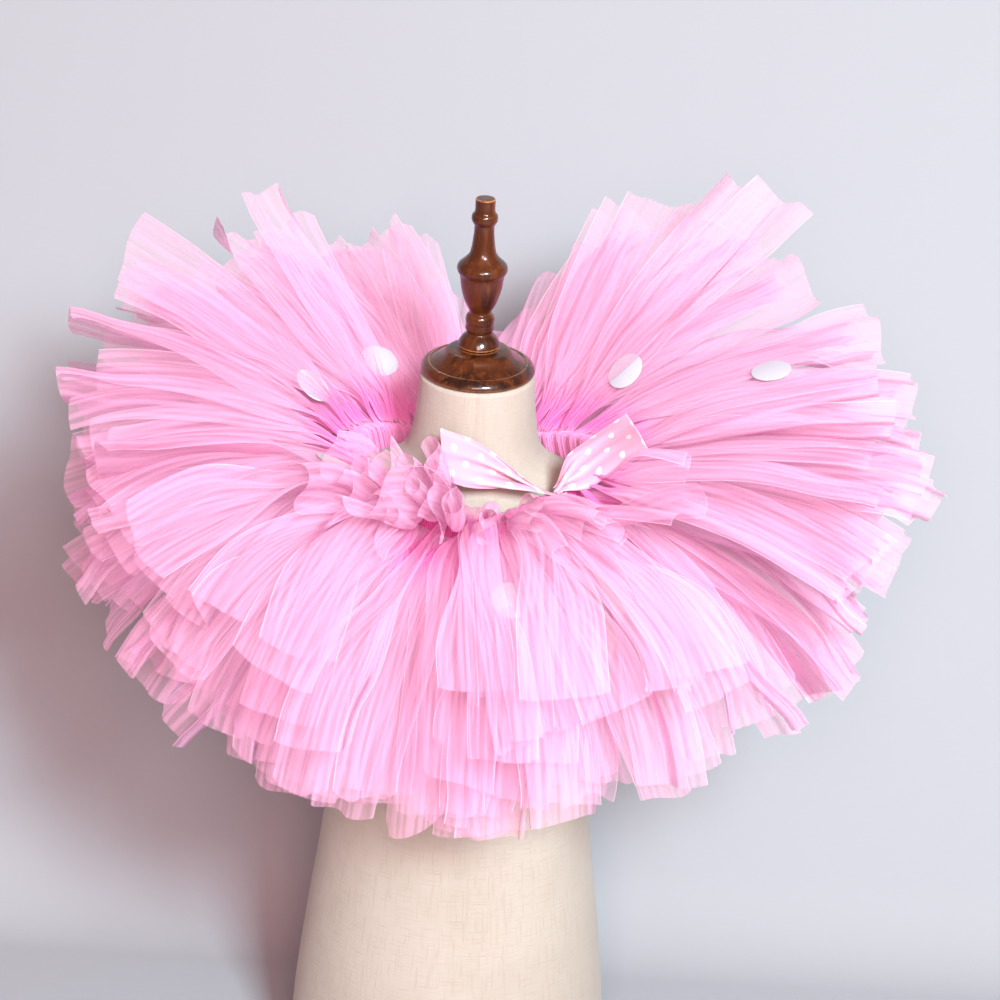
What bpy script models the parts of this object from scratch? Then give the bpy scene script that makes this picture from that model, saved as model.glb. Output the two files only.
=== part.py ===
"""A child's tulle tutu, worn round the neck base of a limbless dress form.

The tutu is made the way a knotted tutu is made: an elastic waistband, and tulle strips that are each looped
over the elastic so that two tails fan out from it, an upper one and a lower one. Round felt dots are stuck on
some of the tails, and a satin ribbon is tied round the band at the front, to the wearer's left.
The form is a linen-covered torso with a turned wooden neck cap and finial. It stands on its flat underside.

Frame: metres, +Z up, the front towards -Y. The origin is the centre of the form's underside. A direction is an
angle round the waistband: 0 towards +X, the wearer's left, 90 to the back, and 270 to the front.
"""

import math

import bmesh
import bpy
from mathutils import Matrix, Vector

MM = 0.001
GAP = 0.3 * MM  # between pieces that touch

# Dress form: one row for each level, from the underside up.
# height, half width (X), half depth (Y), how far the level lies towards the back, squareness of its outline
FORM_LEVELS_MM = (
    (0, 108, 87, 0, 2.0),
    (3, 112, 91, 0, 2.0),
    (14, 114, 93, 0, 2.0),
    (52, 112.5, 92, 0, 2.0),
    (140, 103, 83, 1, 2.0),
    (195, 95.5, 76, 1, 2.0),
    (240, 91.5, 72, 2, 2.0),
    (300, 94, 71, 2, 2.1),
    (360, 103, 70, 2, 2.1),
    (405, 112, 65, 2, 2.0),
    (432, 117, 59, 3, 1.9),
    (448, 115, 54, 3, 1.8),
    (461, 107, 50.5, 3, 1.7),
    (471, 96, 48.5, 3, 1.65),
    (479.6, 80, 46, 2, 1.65),
    (488, 60, 43, 1, 1.75),
    (494, 50, 41, 0, 1.9),
    (501, 44.5, 40.5, 0, 2.0),
    (514, 41, 39.5, 0, 2.0),
    (532, 39, 38.5, 0, 2.0),
    (552, 37.4, 37.4, 0, 2.0),
)
FORM_SIDES = 30

# Neck cap and finial: radius and height of each step of the turned profile, from the axis at the top down.
NECK_TOP = 552 * MM
CAP_PROFILE_MM = (
    (0, 18.5),
    (13.2, 18.5),
    (13.6, 17.2),
    (20.6, 16.4),
    (23.4, 12.4),
    (29.6, 8.8),
    (31.4, 7.6),
    (32.2, 8.2),
    (35.6, 6.6),
    (37.7, 3.4),
    (36.6, 0.3),
    (0, 0.3),
)
FINIAL_FOOT = 18.8 * MM  # above the neck top
FINIAL_PROFILE_MM = (
    (0, 101.4),
    (6.0, 101.4),
    (6.5, 100.4),
    (6.4, 92.2),
    (8.2, 90.6),
    (8.7, 87.6),
    (7.6, 84.9),
    (6.3, 83.6),
    (6.7, 76.0),
    (8.2, 64.5),
    (11.6, 60.2),
    (15.9, 56.6),
    (16.6, 53.4),
    (15.4, 50.8),
    (14.4, 49.6),
    (13.3, 40.0),
    (10.4, 30.4),
    (6.5, 23.4),
    (8.8, 22.0),
    (9.7, 18.4),
    (8.9, 15.4),
    (9.5, 13.2),
    (8.9, 10.9),
    (7.8, 9.8),
    (11.6, 6.4),
    (13.9, 1.8),
    (13.6, 0),
    (0, 0),
)
TURNED_STEPS = 24

# Waistband: an oval of flat elastic, laid over the shoulders, so that it is higher at the sides.
BAND_HALF_WIDTH = 80 * MM
BAND_HALF_DEPTH = 60 * MM
BAND_CENTRE = (2 * MM, -2 * MM)
BAND_HEIGHT = 478.8 * MM
BAND_RISE = 12 * MM  # how far the sides lie above, and the front and back below, the middle height
BAND_STEPS = 64
ELASTIC_SECTION_MM = (  # outwards, up
    (1.6, 6.0),
    (0, 7.2),
    (-1.6, 6.0),
    (-1.6, -6.0),
    (0, -7.2),
    (1.6, -6.0),
)

# Tulle strips: strip i is looped over the band at its own place, and leaves by two tails. The tails lie in four
# storeys, 0 the highest: an even strip has storeys 0 and 2, an odd one 1 and 3, so neighbours overlap.
STRIP_PLACES = 28
FIRST_STRIP = 9.4  # degrees
RIBBON_PLACE = 24  # here the ribbon is tied, and no strip
TULLE_WALL = 1.8 * MM
PLEATS = 3  # on each tail
PLEAT_DEPTH = 8 * MM  # how far a fold lies above, and a hollow below, the tail's middle
PLEAT_FROM = 25 * MM  # the folds open out between these distances from the band
PLEAT_FULL = 150 * MM
BUNCH_SHARE = 0.465  # half a tail's width in places, at the band and at full spread
SPREAD_SHARE = 0.93
SPREAD_FROM = 12 * MM
SPREAD_FULL = 120 * MM
TAIL_ROWS_MM = (22, 58, 102, 158)  # from the band, before the cut end
LOOP_MM = ((3.5, 8.3), (0, 8.8), (-3.0, 6.8), (-3.0, -6.8), (0, -8.8), (3.5, -8.3))  # outwards, up

# How the tails leave the band, in degrees above the level, and how long they are, one row for each direction:
# direction, top storey at the band, at its end, bottom storey at the band, at its end, length in mm
TAIL_DIRECTIONS = (
    (0, 40, 16, -8, -52, 212),
    (25, 46, 28, -6, -48, 213),
    (48, 55, 42, 0, -40, 217),
    (60, 54, 40, 0, -38, 208),
    (74, 42, 16, -2, -40, 194),
    (92, 30, -6, -6, -46, 180),
    (108, 46, 16, -2, -40, 190),
    (118, 52, 34, 0, -38, 195),
    (132, 52, 38, 0, -38, 198),
    (152, 46, 26, -6, -48, 199),
    (180, 38, 8, -10, -56, 197),
    (215, 38, -16, -26, -68, 194),
    (240, 36, -46, -44, -78, 189),
    (270, 34, -66, -54, -84, 183),
    (300, 36, -46, -44, -78, 190),
    (325, 26, -20, -28, -68, 204),
    (345, 30, 4, -18, -58, 210),
)
LENGTH_CYCLE_MM = (0, 7, -6, 3, -9, 8, -3, 5)  # how unevenly the tails are cut

# Felt dots, each on a tail that hangs flat as far as the dot.
DOT_RADIUS = 13.5 * MM
DOT_THICKNESS = 1.0 * MM
DOT_SIDES = 14
DOT_ROWS = 16 * MM  # a dotted tail has a row this far before and after the dot's middle
# strip place, storey, distance from the band in mm, how far to the tail's left in mm, which face: 1 up, -1 down
DOTS = (
    (9, 1, 60, 2, 1),
    (12, 0, 42, 6, 1),
    (16, 0, 42, 4, 1),
    (11, 1, 114, 10, 1),
    (2, 0, 56, -7, 1),
    (1, 1, 128, -24, 1),
    (21, 1, 82, 4, 1),
    (14, 2, 96, 12, -1),
    (7, 3, 92, 8, -1),
    (4, 2, 118, -12, -1),
    (9, 3, 122, 10, -1),
    (0, 2, 84, -8, -1),
)

# Satin ribbon: wrapped round the band, with two wings that stand up beside the neck and a short tail.
RIBBON_WALL = 1.2 * MM
WRAP_HALF_WIDTH = 6.5 * MM
WRAP_STEPS = 3
WRAP_LOOP_MM = ((3.4, 9.4), (-2.6, 9.4), (-2.6, -7.8), (0, -8.6), (3.0, -8.0), (5.4, 0))  # outwards, up
# Each loose end of ribbon starts at a foot that is gathered on the wrap, and widens to its cut end.
# name, the foot's two corners (each along the band, outwards and up from the wrap's middle), the cut end's two
# corners (each X, Y, Z), how far it cups across and bows out, and the share of its length where it is full width
RIBBON_ENDS = (
    ("ribbon_wing_right", (2, -2.4, 11.6), (2, 3.6, 11.6), (96, -50, 551), (119, -54, 523), 6, -7, 0.6),
    ("ribbon_wing_left", (-2, -2.4, 10.5), (-2, 3.6, 10.5), (-21, -60, 536), (-25, -66, 499), -5, 6, 0.45),
    ("ribbon_tail", (4, 7.5, 2), (-4, 7.5, 2), (69, -57, 462), (61, -64, 461), 1, 2, 0.9),
)
RIBBON_ACROSS = 5
RIBBON_ALONG = 8


def material(name, colour, roughness, metallic=0.0):
    """A plain Principled finish."""
    finish = bpy.data.materials.new(name)
    finish.use_nodes = True
    shader = finish.node_tree.nodes["Principled BSDF"]
    shader.inputs["Base Color"].default_value = (*colour, 1)
    shader.inputs["Roughness"].default_value = roughness
    shader.inputs["Metallic"].default_value = metallic
    return finish


def add_object(name, mesh, finish, collection):
    """Links a mesh as a node of its own."""
    mesh.materials.append(finish)
    made = bpy.data.objects.new(name, mesh)
    collection.objects.link(made)
    return made


def grid_mesh(name, columns, rows, place, weld=False):
    """A grid whose point (u, v), both from 0 to 1, lies at place(u, v). weld joins edges that meet."""
    grid = bmesh.new()
    bmesh.ops.create_grid(grid, x_segments=columns, y_segments=rows, size=0.5)
    for vert in grid.verts:
        vert.co = place(vert.co.x + 0.5, vert.co.y + 0.5)
    if weld:
        bmesh.ops.remove_doubles(grid, verts=grid.verts, dist=0.01 * MM)
    mesh = bpy.data.meshes.new(name)
    grid.to_mesh(mesh)
    grid.free()
    return mesh


def add_sheet(name, mesh, wall, finish, collection):
    """Cloth: an open grid that Solidify gives a wall, half on each side."""
    made = add_object(name, mesh, finish, collection)
    solidify = made.modifiers.new("wall", "SOLIDIFY")
    solidify.thickness = wall
    solidify.offset = 0
    return made


def ease(value, low, high):
    """0 up to low, 1 from high on, and smooth between."""
    share = min(max((value - low) / (high - low), 0), 1)
    return share * share * (3 - 2 * share)


def band_radius(direction):
    """Distance from the waistband's centre to the oval band."""
    across = BAND_HALF_DEPTH * math.cos(direction)
    along = BAND_HALF_WIDTH * math.sin(direction)
    return BAND_HALF_WIDTH * BAND_HALF_DEPTH / math.hypot(across, along)


def near_band(direction, outwards, up):
    """The point that lies that far outwards of the band's middle, and above it."""
    radius = band_radius(direction) + outwards
    height = BAND_HEIGHT + BAND_RISE * math.cos(2 * direction) + up
    x, y = BAND_CENTRE
    return Vector((x + radius * math.cos(direction), y + radius * math.sin(direction), height))


def strip_direction(place):
    return math.radians(FIRST_STRIP + place * 360 / STRIP_PLACES)


def tail_values(direction):
    """The TAIL_DIRECTIONS row for any direction, mixed smoothly from its two neighbours."""
    degrees = math.degrees(direction) % 360
    rows = (*TAIL_DIRECTIONS, (360, *TAIL_DIRECTIONS[0][1:]))
    for before, after in zip(rows, rows[1:]):
        if degrees <= after[0]:
            break
    share = ease(degrees, before[0], after[0])
    return [a + (b - a) * share for a, b in zip(before[1:], after[1:])]


def tail_arc(direction, storey, distance):
    """How far a storey's smooth surface lies outwards and up from the band, and its slope there.

    A tail is an arc of a circle that turns evenly from its slope at the band to its slope at the end.
    """
    top_start, top_end, low_start, low_end, length = tail_values(direction)
    start = math.radians(top_start + (low_start - top_start) * storey / 3)
    end = math.radians(top_end + (low_end - top_end) * storey / 3)
    turn = (end - start) / (length * MM)
    slope = start + turn * distance
    outwards, up = LOOP_MM[0] if storey < 2 else LOOP_MM[-1]
    outwards = outwards * MM + (math.sin(slope) - math.sin(start)) / turn
    up = up * MM - (math.cos(slope) - math.cos(start)) / turn
    return outwards, up, slope


def tail_cut(place, storey):
    """The length of one tail, to its cut end."""
    length = tail_values(strip_direction(place))[-1]
    return (length + LENGTH_CYCLE_MM[(3 * place + 5 * storey) % len(LENGTH_CYCLE_MM)]) * MM


def dot_distance(place, storey):
    """How far from the band a tail's dot has its middle, or None if it has no dot."""
    return next((dot[2] * MM for dot in DOTS if dot[:2] == (place, storey)), None)


def tail_rows(place, storey):
    """The distances from the band at which a tail has its rows, the cut end last."""
    rows = [distance * MM for distance in TAIL_ROWS_MM]
    middle = dot_distance(place, storey)
    if middle:
        nearest = min(range(len(rows) - 1), key=lambda i: abs(rows[i] + rows[i + 1] - 2 * middle))
        rows[nearest] = middle - DOT_ROWS
        rows[nearest + 1] = middle + DOT_ROWS
    return [*rows, tail_cut(place, storey)]


def zigzag(across):
    """A tail's folds, from -1 at its two edges to 1: across runs from 0 to 1."""
    return 1 - 2 * abs((across * PLEATS) % 1 * 2 - 1)


def half_spread(distance):
    """Half the angle that a tail takes up, that far from the band."""
    share = BUNCH_SHARE + (SPREAD_SHARE - BUNCH_SHARE) * ease(distance, SPREAD_FROM, SPREAD_FULL)
    return share * math.radians(360 / STRIP_PLACES)


def flat_tail_point(place, storey, sideways, distance):
    """A point of a tail where it hangs flat: each of its rows is a straight line."""
    middle = strip_direction(place)
    outwards, up, _ = tail_arc(middle, storey, distance)
    left = Vector((-math.sin(middle), math.cos(middle), 0))
    return near_band(middle, outwards, up) + sideways * left


def tail_point(place, storey, across, distance):
    """A point of a tail's middle surface: across from 0 to 1, and its distance from the band."""
    middle = strip_direction(place)
    turn = half_spread(distance) * (2 * across - 1)
    dot = dot_distance(place, storey)
    if dot and distance < dot + 1.5 * DOT_ROWS:
        outwards, _, _ = tail_arc(middle, storey, distance)
        sideways = math.tan(turn) * (band_radius(middle) + outwards)
        return flat_tail_point(place, storey, sideways, distance)
    outwards, up, slope = tail_arc(middle + turn, storey, distance)
    fold = PLEAT_DEPTH * ease(distance, PLEAT_FROM, PLEAT_FULL) * zigzag(across)
    return near_band(middle + turn, outwards - fold * math.sin(slope), up + fold * math.cos(slope))


def add_strip(place, finish, collection):
    """One tulle strip: its upper tail from the cut end in, the loop over the elastic, and its lower tail."""
    upper, lower = (0, 2) if place % 2 == 0 else (1, 3)
    rows = [(upper, distance) for distance in reversed(tail_rows(place, upper))]
    rows += [("loop", point) for point in LOOP_MM]
    rows += [(lower, distance) for distance in tail_rows(place, lower)]

    def point(across, along):
        storey, where = rows[round(along * (len(rows) - 1))]
        if storey == "loop":
            turn = half_spread(0) * (2 * across - 1)
            return near_band(strip_direction(place) + turn, where[0] * MM, where[1] * MM)
        return tail_point(place, storey, across, where)

    name = f"tulle_strip_{place + 1:02d}"
    mesh = grid_mesh(name, 2 * PLEATS, len(rows) - 1, point)
    return add_sheet(name, mesh, TULLE_WALL, finish, collection)


def add_dot(number, place, storey, distance, sideways, face, finish, collection):
    """A felt disc on the upper or lower face of a tail, parallel to it."""
    before, after = (
        flat_tail_point(place, storey, sideways * MM, distance * MM + step) for step in (-DOT_ROWS, DOT_ROWS)
    )
    outwards = (after - before).normalized()
    middle = strip_direction(place)
    left = Vector((-math.sin(middle), math.cos(middle), 0))
    upwards = outwards.cross(left)
    centre = (before + after) / 2 + face * upwards * (TULLE_WALL / 2 + GAP + DOT_THICKNESS / 2)
    disc = bmesh.new()
    bmesh.ops.create_cone(
        disc, cap_ends=True, segments=DOT_SIDES, radius1=DOT_RADIUS, radius2=DOT_RADIUS, depth=DOT_THICKNESS
    )
    name = f"felt_dot_{number:02d}"
    mesh = bpy.data.meshes.new(name)
    disc.to_mesh(mesh)
    disc.free()
    made = add_object(name, mesh, finish, collection)
    made.matrix_world = Matrix.Translation(centre) @ Matrix((outwards, left, upwards)).transposed().to_4x4()
    return made


def add_elastic(finish, collection):
    """The waistband's elastic: its section carried round the oval."""
    sides = len(ELASTIC_SECTION_MM)

    def point(u, v):
        outwards, up = ELASTIC_SECTION_MM[-round(u * sides) % sides]
        return near_band(2 * math.pi * v, outwards * MM, up * MM)

    mesh = grid_mesh("waistband_elastic", sides, BAND_STEPS, point, weld=True)
    return add_object("waistband_elastic", mesh, finish, collection)


def add_ribbon_wrap(finish, collection):
    """The ribbon round the band: a loop that is open at its two ends along the band."""
    sides = len(WRAP_LOOP_MM)

    def point(u, v):
        outwards, up = WRAP_LOOP_MM[round(u * sides) % sides]
        direction = strip_direction(RIBBON_PLACE)
        turn = WRAP_HALF_WIDTH * (2 * v - 1) / band_radius(direction)
        return near_band(direction + turn, outwards * MM, up * MM)

    mesh = grid_mesh("ribbon_wrap", sides, WRAP_STEPS, point, weld=True)
    return add_sheet("ribbon_wrap", mesh, RIBBON_WALL, finish, collection)


def wrap_point(along, outwards, up):
    """The point that lies that far along the band, outwards and up from the middle of the ribbon's wrap, in mm."""
    direction = strip_direction(RIBBON_PLACE)
    tangent = Vector((-math.sin(direction), math.cos(direction), 0))
    return near_band(direction, outwards * MM, up * MM) + along * MM * tangent


def add_ribbon_end(name, foot_a, foot_b, cut_a, cut_b, cup, bow, full, finish, collection):
    """A loose end of ribbon: its width runs from corner a to corner b, at the foot and at the cut end."""
    foot_a, foot_b = (wrap_point(*corner) for corner in (foot_a, foot_b))
    cut_a, cut_b = (Vector(corner) * MM for corner in (cut_a, cut_b))
    foot = (foot_a + foot_b) / 2
    run = (cut_a + cut_b) / 2 - foot
    out = run.cross(cut_a - cut_b).normalized()

    def point(u, v):
        side = 1 - 2 * u
        across = (foot_a - foot_b).lerp(cut_a - cut_b, ease(v, 0, full)) / 2
        lift = (cup * (side * side - 0.5) + bow) * math.sin(math.pi * v) * MM
        return foot + run * v + across * side + out * lift

    mesh = grid_mesh(name, RIBBON_ACROSS, RIBBON_ALONG, point)
    return add_sheet(name, mesh, RIBBON_WALL, finish, collection)


def add_form(finish, collection):
    """The dress form: its levels joined from the flat underside to the flat top of the neck."""
    levels = FORM_LEVELS_MM

    def point(u, v):
        height, width, depth, back, square = levels[round(v * (len(levels) - 1))]
        x, y = math.cos(2 * math.pi * u), math.sin(2 * math.pi * u)
        x = math.copysign(abs(x) ** (2 / square), x)
        y = math.copysign(abs(y) ** (2 / square), y)
        return Vector((width * x, depth * y + back, height)) * MM

    mesh = grid_mesh("dress_form", FORM_SIDES, len(levels) - 1, point, weld=True)
    form = bmesh.new()
    form.from_mesh(mesh)
    bmesh.ops.holes_fill(form, edges=form.edges, sides=0)
    bmesh.ops.recalc_face_normals(form, faces=form.faces)
    form.to_mesh(mesh)
    form.free()
    mesh.shade_smooth()
    return add_object("dress_form", mesh, finish, collection)


def add_turned(name, profile, foot, finish, collection):
    """A turned wooden piece: its profile carried round the axis by Screw."""
    outline = bmesh.new()
    verts = [outline.verts.new((radius * MM, 0, foot + height * MM)) for radius, height in profile]
    for pair in zip(verts, verts[1:]):
        outline.edges.new(pair)
    mesh = bpy.data.meshes.new(name)
    outline.to_mesh(mesh)
    outline.free()
    made = add_object(name, mesh, finish, collection)
    screw = made.modifiers.new("turned", "SCREW")
    screw.steps = screw.render_steps = TURNED_STEPS
    screw.use_merge_vertices = True
    screw.merge_threshold = 0.01 * MM
    return made


def main():
    for old in list(bpy.data.objects):
        bpy.data.objects.remove(old)
    parts = bpy.data.collections.new("knotted_tutu_on_dress_form")
    bpy.context.scene.collection.children.link(parts)
    linen = material("linen", (0.86, 0.74, 0.60), 0.85)
    wood = material("dark_wood", (0.13, 0.055, 0.02), 0.3)
    tulle = material("pink_tulle", (0.95, 0.55, 0.76), 0.7)
    elastic = material("pink_elastic", (0.85, 0.2, 0.5), 0.8)
    felt = material("white_felt", (0.9, 0.87, 0.93), 0.9)
    satin = material("pink_satin", (0.95, 0.72, 0.8), 0.35)
    add_form(linen, parts)
    add_turned("neck_cap", CAP_PROFILE_MM, NECK_TOP, wood, parts)
    add_turned("finial", FINIAL_PROFILE_MM, NECK_TOP + FINIAL_FOOT, wood, parts)
    add_elastic(elastic, parts)
    for place in range(STRIP_PLACES):
        if place != RIBBON_PLACE:
            add_strip(place, tulle, parts)
    for number, dot in enumerate(DOTS, 1):
        add_dot(number, *dot, felt, parts)
    add_ribbon_wrap(satin, parts)
    for row in RIBBON_ENDS:
        add_ribbon_end(*row, satin, parts)


main()
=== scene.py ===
# %% [markdown]
# # A knotted tulle tutu on a dress form
# A knotted tutu is made without a needle. Strips of tulle are folded in half and looped over a waistband of
# elastic, so that each gives two tails, and well over a hundred strips stand out as one round cloud. Here
# it is worn like a ruff, round the neck of a child's linen dress form with a turned wooden cap. The rigid
# model is loaded first. Each new piece takes the place of some of its parts, which are hidden.

# %% Open the frame
import math
from functools import partial

import bmesh
import bpy
import numpy as np
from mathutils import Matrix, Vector


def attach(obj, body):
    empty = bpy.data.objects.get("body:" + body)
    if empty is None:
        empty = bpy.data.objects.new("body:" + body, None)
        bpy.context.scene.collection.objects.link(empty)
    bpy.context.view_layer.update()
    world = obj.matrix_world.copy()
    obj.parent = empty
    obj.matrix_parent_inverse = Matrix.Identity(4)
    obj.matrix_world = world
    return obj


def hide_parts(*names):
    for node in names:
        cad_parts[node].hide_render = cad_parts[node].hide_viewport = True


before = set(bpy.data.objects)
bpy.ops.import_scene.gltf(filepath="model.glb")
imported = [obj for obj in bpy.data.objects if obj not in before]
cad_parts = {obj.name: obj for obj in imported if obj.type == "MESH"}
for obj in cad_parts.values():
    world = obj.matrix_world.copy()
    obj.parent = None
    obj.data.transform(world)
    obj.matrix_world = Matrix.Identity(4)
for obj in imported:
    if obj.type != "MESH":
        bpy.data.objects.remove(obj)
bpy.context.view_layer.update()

MM = 0.001
print("nodes in the frame:", len(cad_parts))

# %% [markdown]
# ## Camera and light
# The tutu is looked down on, from about the height of a standing adult, through a long lens, which keeps
# the far tails as large as the near ones. The camera leans a little, as a hand-held one does.

# %% Camera
CAMERA_TARGET = Vector((19 * MM, 0, 460 * MM))
CAMERA_ELEVATION = math.radians(26)
CAMERA_DISTANCE = 1.9
CAMERA_LEAN = math.radians(3)
CAMERA_LENS = 102.6  # on a sensor 36 mm wide

away = Vector((0, -math.cos(CAMERA_ELEVATION), math.sin(CAMERA_ELEVATION)))
camera_data = bpy.data.cameras.new("camera")
camera_data.lens = CAMERA_LENS
camera = bpy.data.objects.new("camera", camera_data)
bpy.context.scene.collection.objects.link(camera)
camera.location = CAMERA_TARGET + away * CAMERA_DISTANCE
upright = (-away).to_track_quat("-Z", "Y").to_matrix()
camera.rotation_euler = (upright @ upright.Rotation(CAMERA_LEAN, 3, "Z")).to_euler()
bpy.context.scene.camera = camera
print("camera", [round(x, 3) for x in camera.location])

# %% [markdown]
# ## Stage
# A wide sheet of pale lilac paper lies under the form and rises close behind it, leaning back, so that it
# faces the camera squarely and looks even. The floor turns into the slope along an arc, so no line shows.
# The paper is only drawn on its upper face, so that the tutu can be looked at from behind as well.
#
# The key lamp stands a little to the right of the camera and above it: nearly everything that is seen is
# lit, and a soft shadow falls on the paper to the left. A warmer lamp behind the camera fills the hollows
# between the tails, a third one keeps the back from going dark, and the room gives the rest. A plain colour
# transform keeps the pinks as clear as in a bright studio picture.
#
# Beyond the paper's edges the room is drawn as pale as the paper, and still lights everything with its own
# colour. A ray may pass seven layers of net and bounce once. That looks deep enough, and keeps the render
# short.

# %% Paper backdrop
def grid_faces(rows, columns, sheets=1):
    """The four-cornered faces of some grids whose points are numbered sheet by sheet, then row by row."""
    corner = np.arange(sheets * rows * columns).reshape(sheets, rows, columns)
    around = corner[:, :-1, :-1], corner[:, :-1, 1:], corner[:, 1:, 1:], corner[:, 1:, :-1]
    return np.stack(around, axis=-1).reshape(-1, 4)


def new_mesh(name, points, faces, uv=None, values=None):
    """A smooth mesh object at the origin. uv and values hold one entry for each point."""
    mesh = bpy.data.meshes.new(name)
    mesh.from_pydata(points.reshape(-1, 3), [], faces)
    mesh.shade_smooth()
    if uv is not None:
        layer = mesh.uv_layers.new(name="cloth")
        layer.data.foreach_set("uv", uv.reshape(-1, 2)[faces.ravel()].astype(np.float32).ravel())
    for key, value in (values or {}).items():
        attribute = mesh.attributes.new(key, "FLOAT", "POINT")
        attribute.data.foreach_set("value", value.astype(np.float32).ravel())
    made = bpy.data.objects.new(name, mesh)
    bpy.context.scene.collection.objects.link(made)
    return made


PAPER_HALF_WIDTH = 2.0
PAPER_COLUMNS = 9
PAPER_FRONT = 2.5  # how far the floor reaches towards the camera
PAPER_BEND_FROM = 110 * MM  # behind the form's middle, where the floor begins to rise
PAPER_BEND = 90 * MM
PAPER_BEND_ROWS = 25
PAPER_LEAN = math.radians(90) - CAMERA_ELEVATION
PAPER_SLOPE = 1.5

turned_by = np.linspace(0, PAPER_LEAN, PAPER_BEND_ROWS)
bend_y = PAPER_BEND_FROM + PAPER_BEND * np.sin(turned_by)
bend = np.stack([bend_y, PAPER_BEND * (1 - np.cos(turned_by))], axis=-1)
top = bend[-1] + PAPER_SLOPE * np.array([math.cos(PAPER_LEAN), math.sin(PAPER_LEAN)])
profile = np.concatenate([[[-PAPER_FRONT, 0]], bend, [top]])
paper_x = np.linspace(-PAPER_HALF_WIDTH, PAPER_HALF_WIDTH, PAPER_COLUMNS)
paper_x, paper_y = np.meshgrid(paper_x, profile[:, 0])
paper_z = np.broadcast_to(profile[:, 1:], paper_x.shape)
paper_points = np.stack([paper_x, paper_y, paper_z], axis=-1)
backdrop = new_mesh("paper_backdrop", paper_points, grid_faces(*paper_x.shape))
print("paper:", len(profile), "rows, rising to", round(float(top[1]), 2), "m")

# %% Lamps
COOL = (0.84, 0.99, 1.02)
WARM = (1.0, 0.57, 0.55)
PALE = (0.72, 0.73, 0.78, 1)
LAMPS = (  # name, degrees right of the camera, degrees up, distance, side of the square, watts, colour
    ("key", 20, 36, 2.4, 0.5, 86, COOL),
    ("fill", 0, 27, 2.6, 0.8, 46, WARM),
    ("back", 190, 34, 2.4, 1.0, 54, COOL),
)
ROOM_STRENGTH = 0.36
LAYERS_SEEN_THROUGH = 7
BOUNCES = 1
FAINT_LIGHT = 0.1  # a lamp that gives less than this is only sampled now and then

for lamp_name, right, up, distance, lamp_side, watts, lamp_colour in LAMPS:
    lamp_data = bpy.data.lights.new(lamp_name, "AREA")
    lamp_data.size = lamp_side
    lamp_data.energy = watts
    lamp_data.color = lamp_colour
    lamp = bpy.data.objects.new(lamp_name, lamp_data)
    bpy.context.scene.collection.objects.link(lamp)
    right, up = math.radians(right), math.radians(up)
    level = Vector((math.sin(right), -math.cos(right), 0)) * math.cos(up)
    lamp.location = CAMERA_TARGET + (level + Vector((0, 0, math.sin(up)))) * distance
    lamp.rotation_euler = (CAMERA_TARGET - lamp.location).to_track_quat("-Z", "Y").to_euler()
room = bpy.data.worlds.new("room")
room.use_nodes = True
seen = room.node_tree.nodes.new("ShaderNodeLightPath").outputs["Is Camera Ray"]
room_mix = room.node_tree.nodes.new("ShaderNodeMix")
room_mix.data_type = "RGBA"
room_mix.inputs[6].default_value = (*(ROOM_STRENGTH * part for part in WARM), 1)
room_mix.inputs[7].default_value = PALE
room.node_tree.links.new(seen, room_mix.inputs[0])
room.node_tree.links.new(room_mix.outputs[2], room.node_tree.nodes["Background"].inputs["Color"])
bpy.context.scene.world = room
bpy.context.scene.view_settings.view_transform = "Standard"
cycles = bpy.context.scene.cycles
cycles.transparent_max_bounces = LAYERS_SEEN_THROUGH
cycles.max_bounces = cycles.diffuse_bounces = cycles.glossy_bounces = BOUNCES
cycles.light_sampling_threshold = FAINT_LIGHT
cycles.use_light_tree = False  # it pays only with many lamps
print("lamps:", [row[0] for row in LAMPS])

# %% [markdown]
# ## Small helpers for materials
# A material here is a tree of nodes. These helpers keep the lines short: one makes a node, sets its values
# and joins its inputs, and the others do sums, spread a value over another range, mix colours, read what is
# kept on the mesh, and join the results to the shader.

# %% Node helpers
def add_node(tree, kind, settings=None, **inputs):
    """A shader node of that kind. Settings are its options. Inputs are sockets to join or values to set."""
    node = tree.nodes.new("ShaderNode" + kind)
    for key, value in (settings or {}).items():
        setattr(node, key, value)
    for key, value in inputs.items():
        socket = node.inputs[int(key[1:]) if key[1:].isdigit() else key.replace("_", " ")]
        if isinstance(value, bpy.types.NodeSocket):
            tree.links.new(value, socket)
        else:
            socket.default_value = value
    return node


def sum_of(tree, operation, first, second=0.0):
    """One step of arithmetic on sockets or numbers."""
    return add_node(tree, "Math", {"operation": operation}, i0=first, i1=second).outputs[0]


def ramp(tree, value, low, high, to_low=0.0, to_high=1.0):
    """value from low to high, carried smoothly to the range to_low to to_high."""
    options = {"interpolation_type": "SMOOTHSTEP"}
    sockets = {"From_Min": low, "From_Max": high, "To_Min": to_low, "To_Max": to_high}
    return add_node(tree, "MapRange", options, Value=value, **sockets).outputs[0]


def mix_colour(tree, share, first, second):
    """Two colours mixed by a share."""
    return add_node(tree, "Mix", {"data_type": "RGBA"}, i0=share, i6=first, i7=second).outputs[2]


def split(tree, place):
    """The three coordinates of a place."""
    return add_node(tree, "SeparateXYZ", None, Vector=place).outputs


def noise(tree, place, scale, detail, **more):
    """Smooth random values, mostly from 0.3 to 0.7. A larger scale makes them change faster."""
    return add_node(tree, "TexNoise", None, Vector=place, Scale=scale, Detail=detail, **more).outputs[0]


def object_place(tree):
    """The place in the object's own coordinates, in metres."""
    return add_node(tree, "TexCoord").outputs["Object"]


def cloth_place(tree):
    """The place on the flat cloth, across and along it, in metres."""
    return add_node(tree, "UVMap", {"uv_map": "cloth"}).outputs[0]


def point_value(tree, name):
    """A value that is kept on the mesh for each point."""
    return add_node(tree, "Attribute", {"attribute_name": name}).outputs["Fac"]


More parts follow.
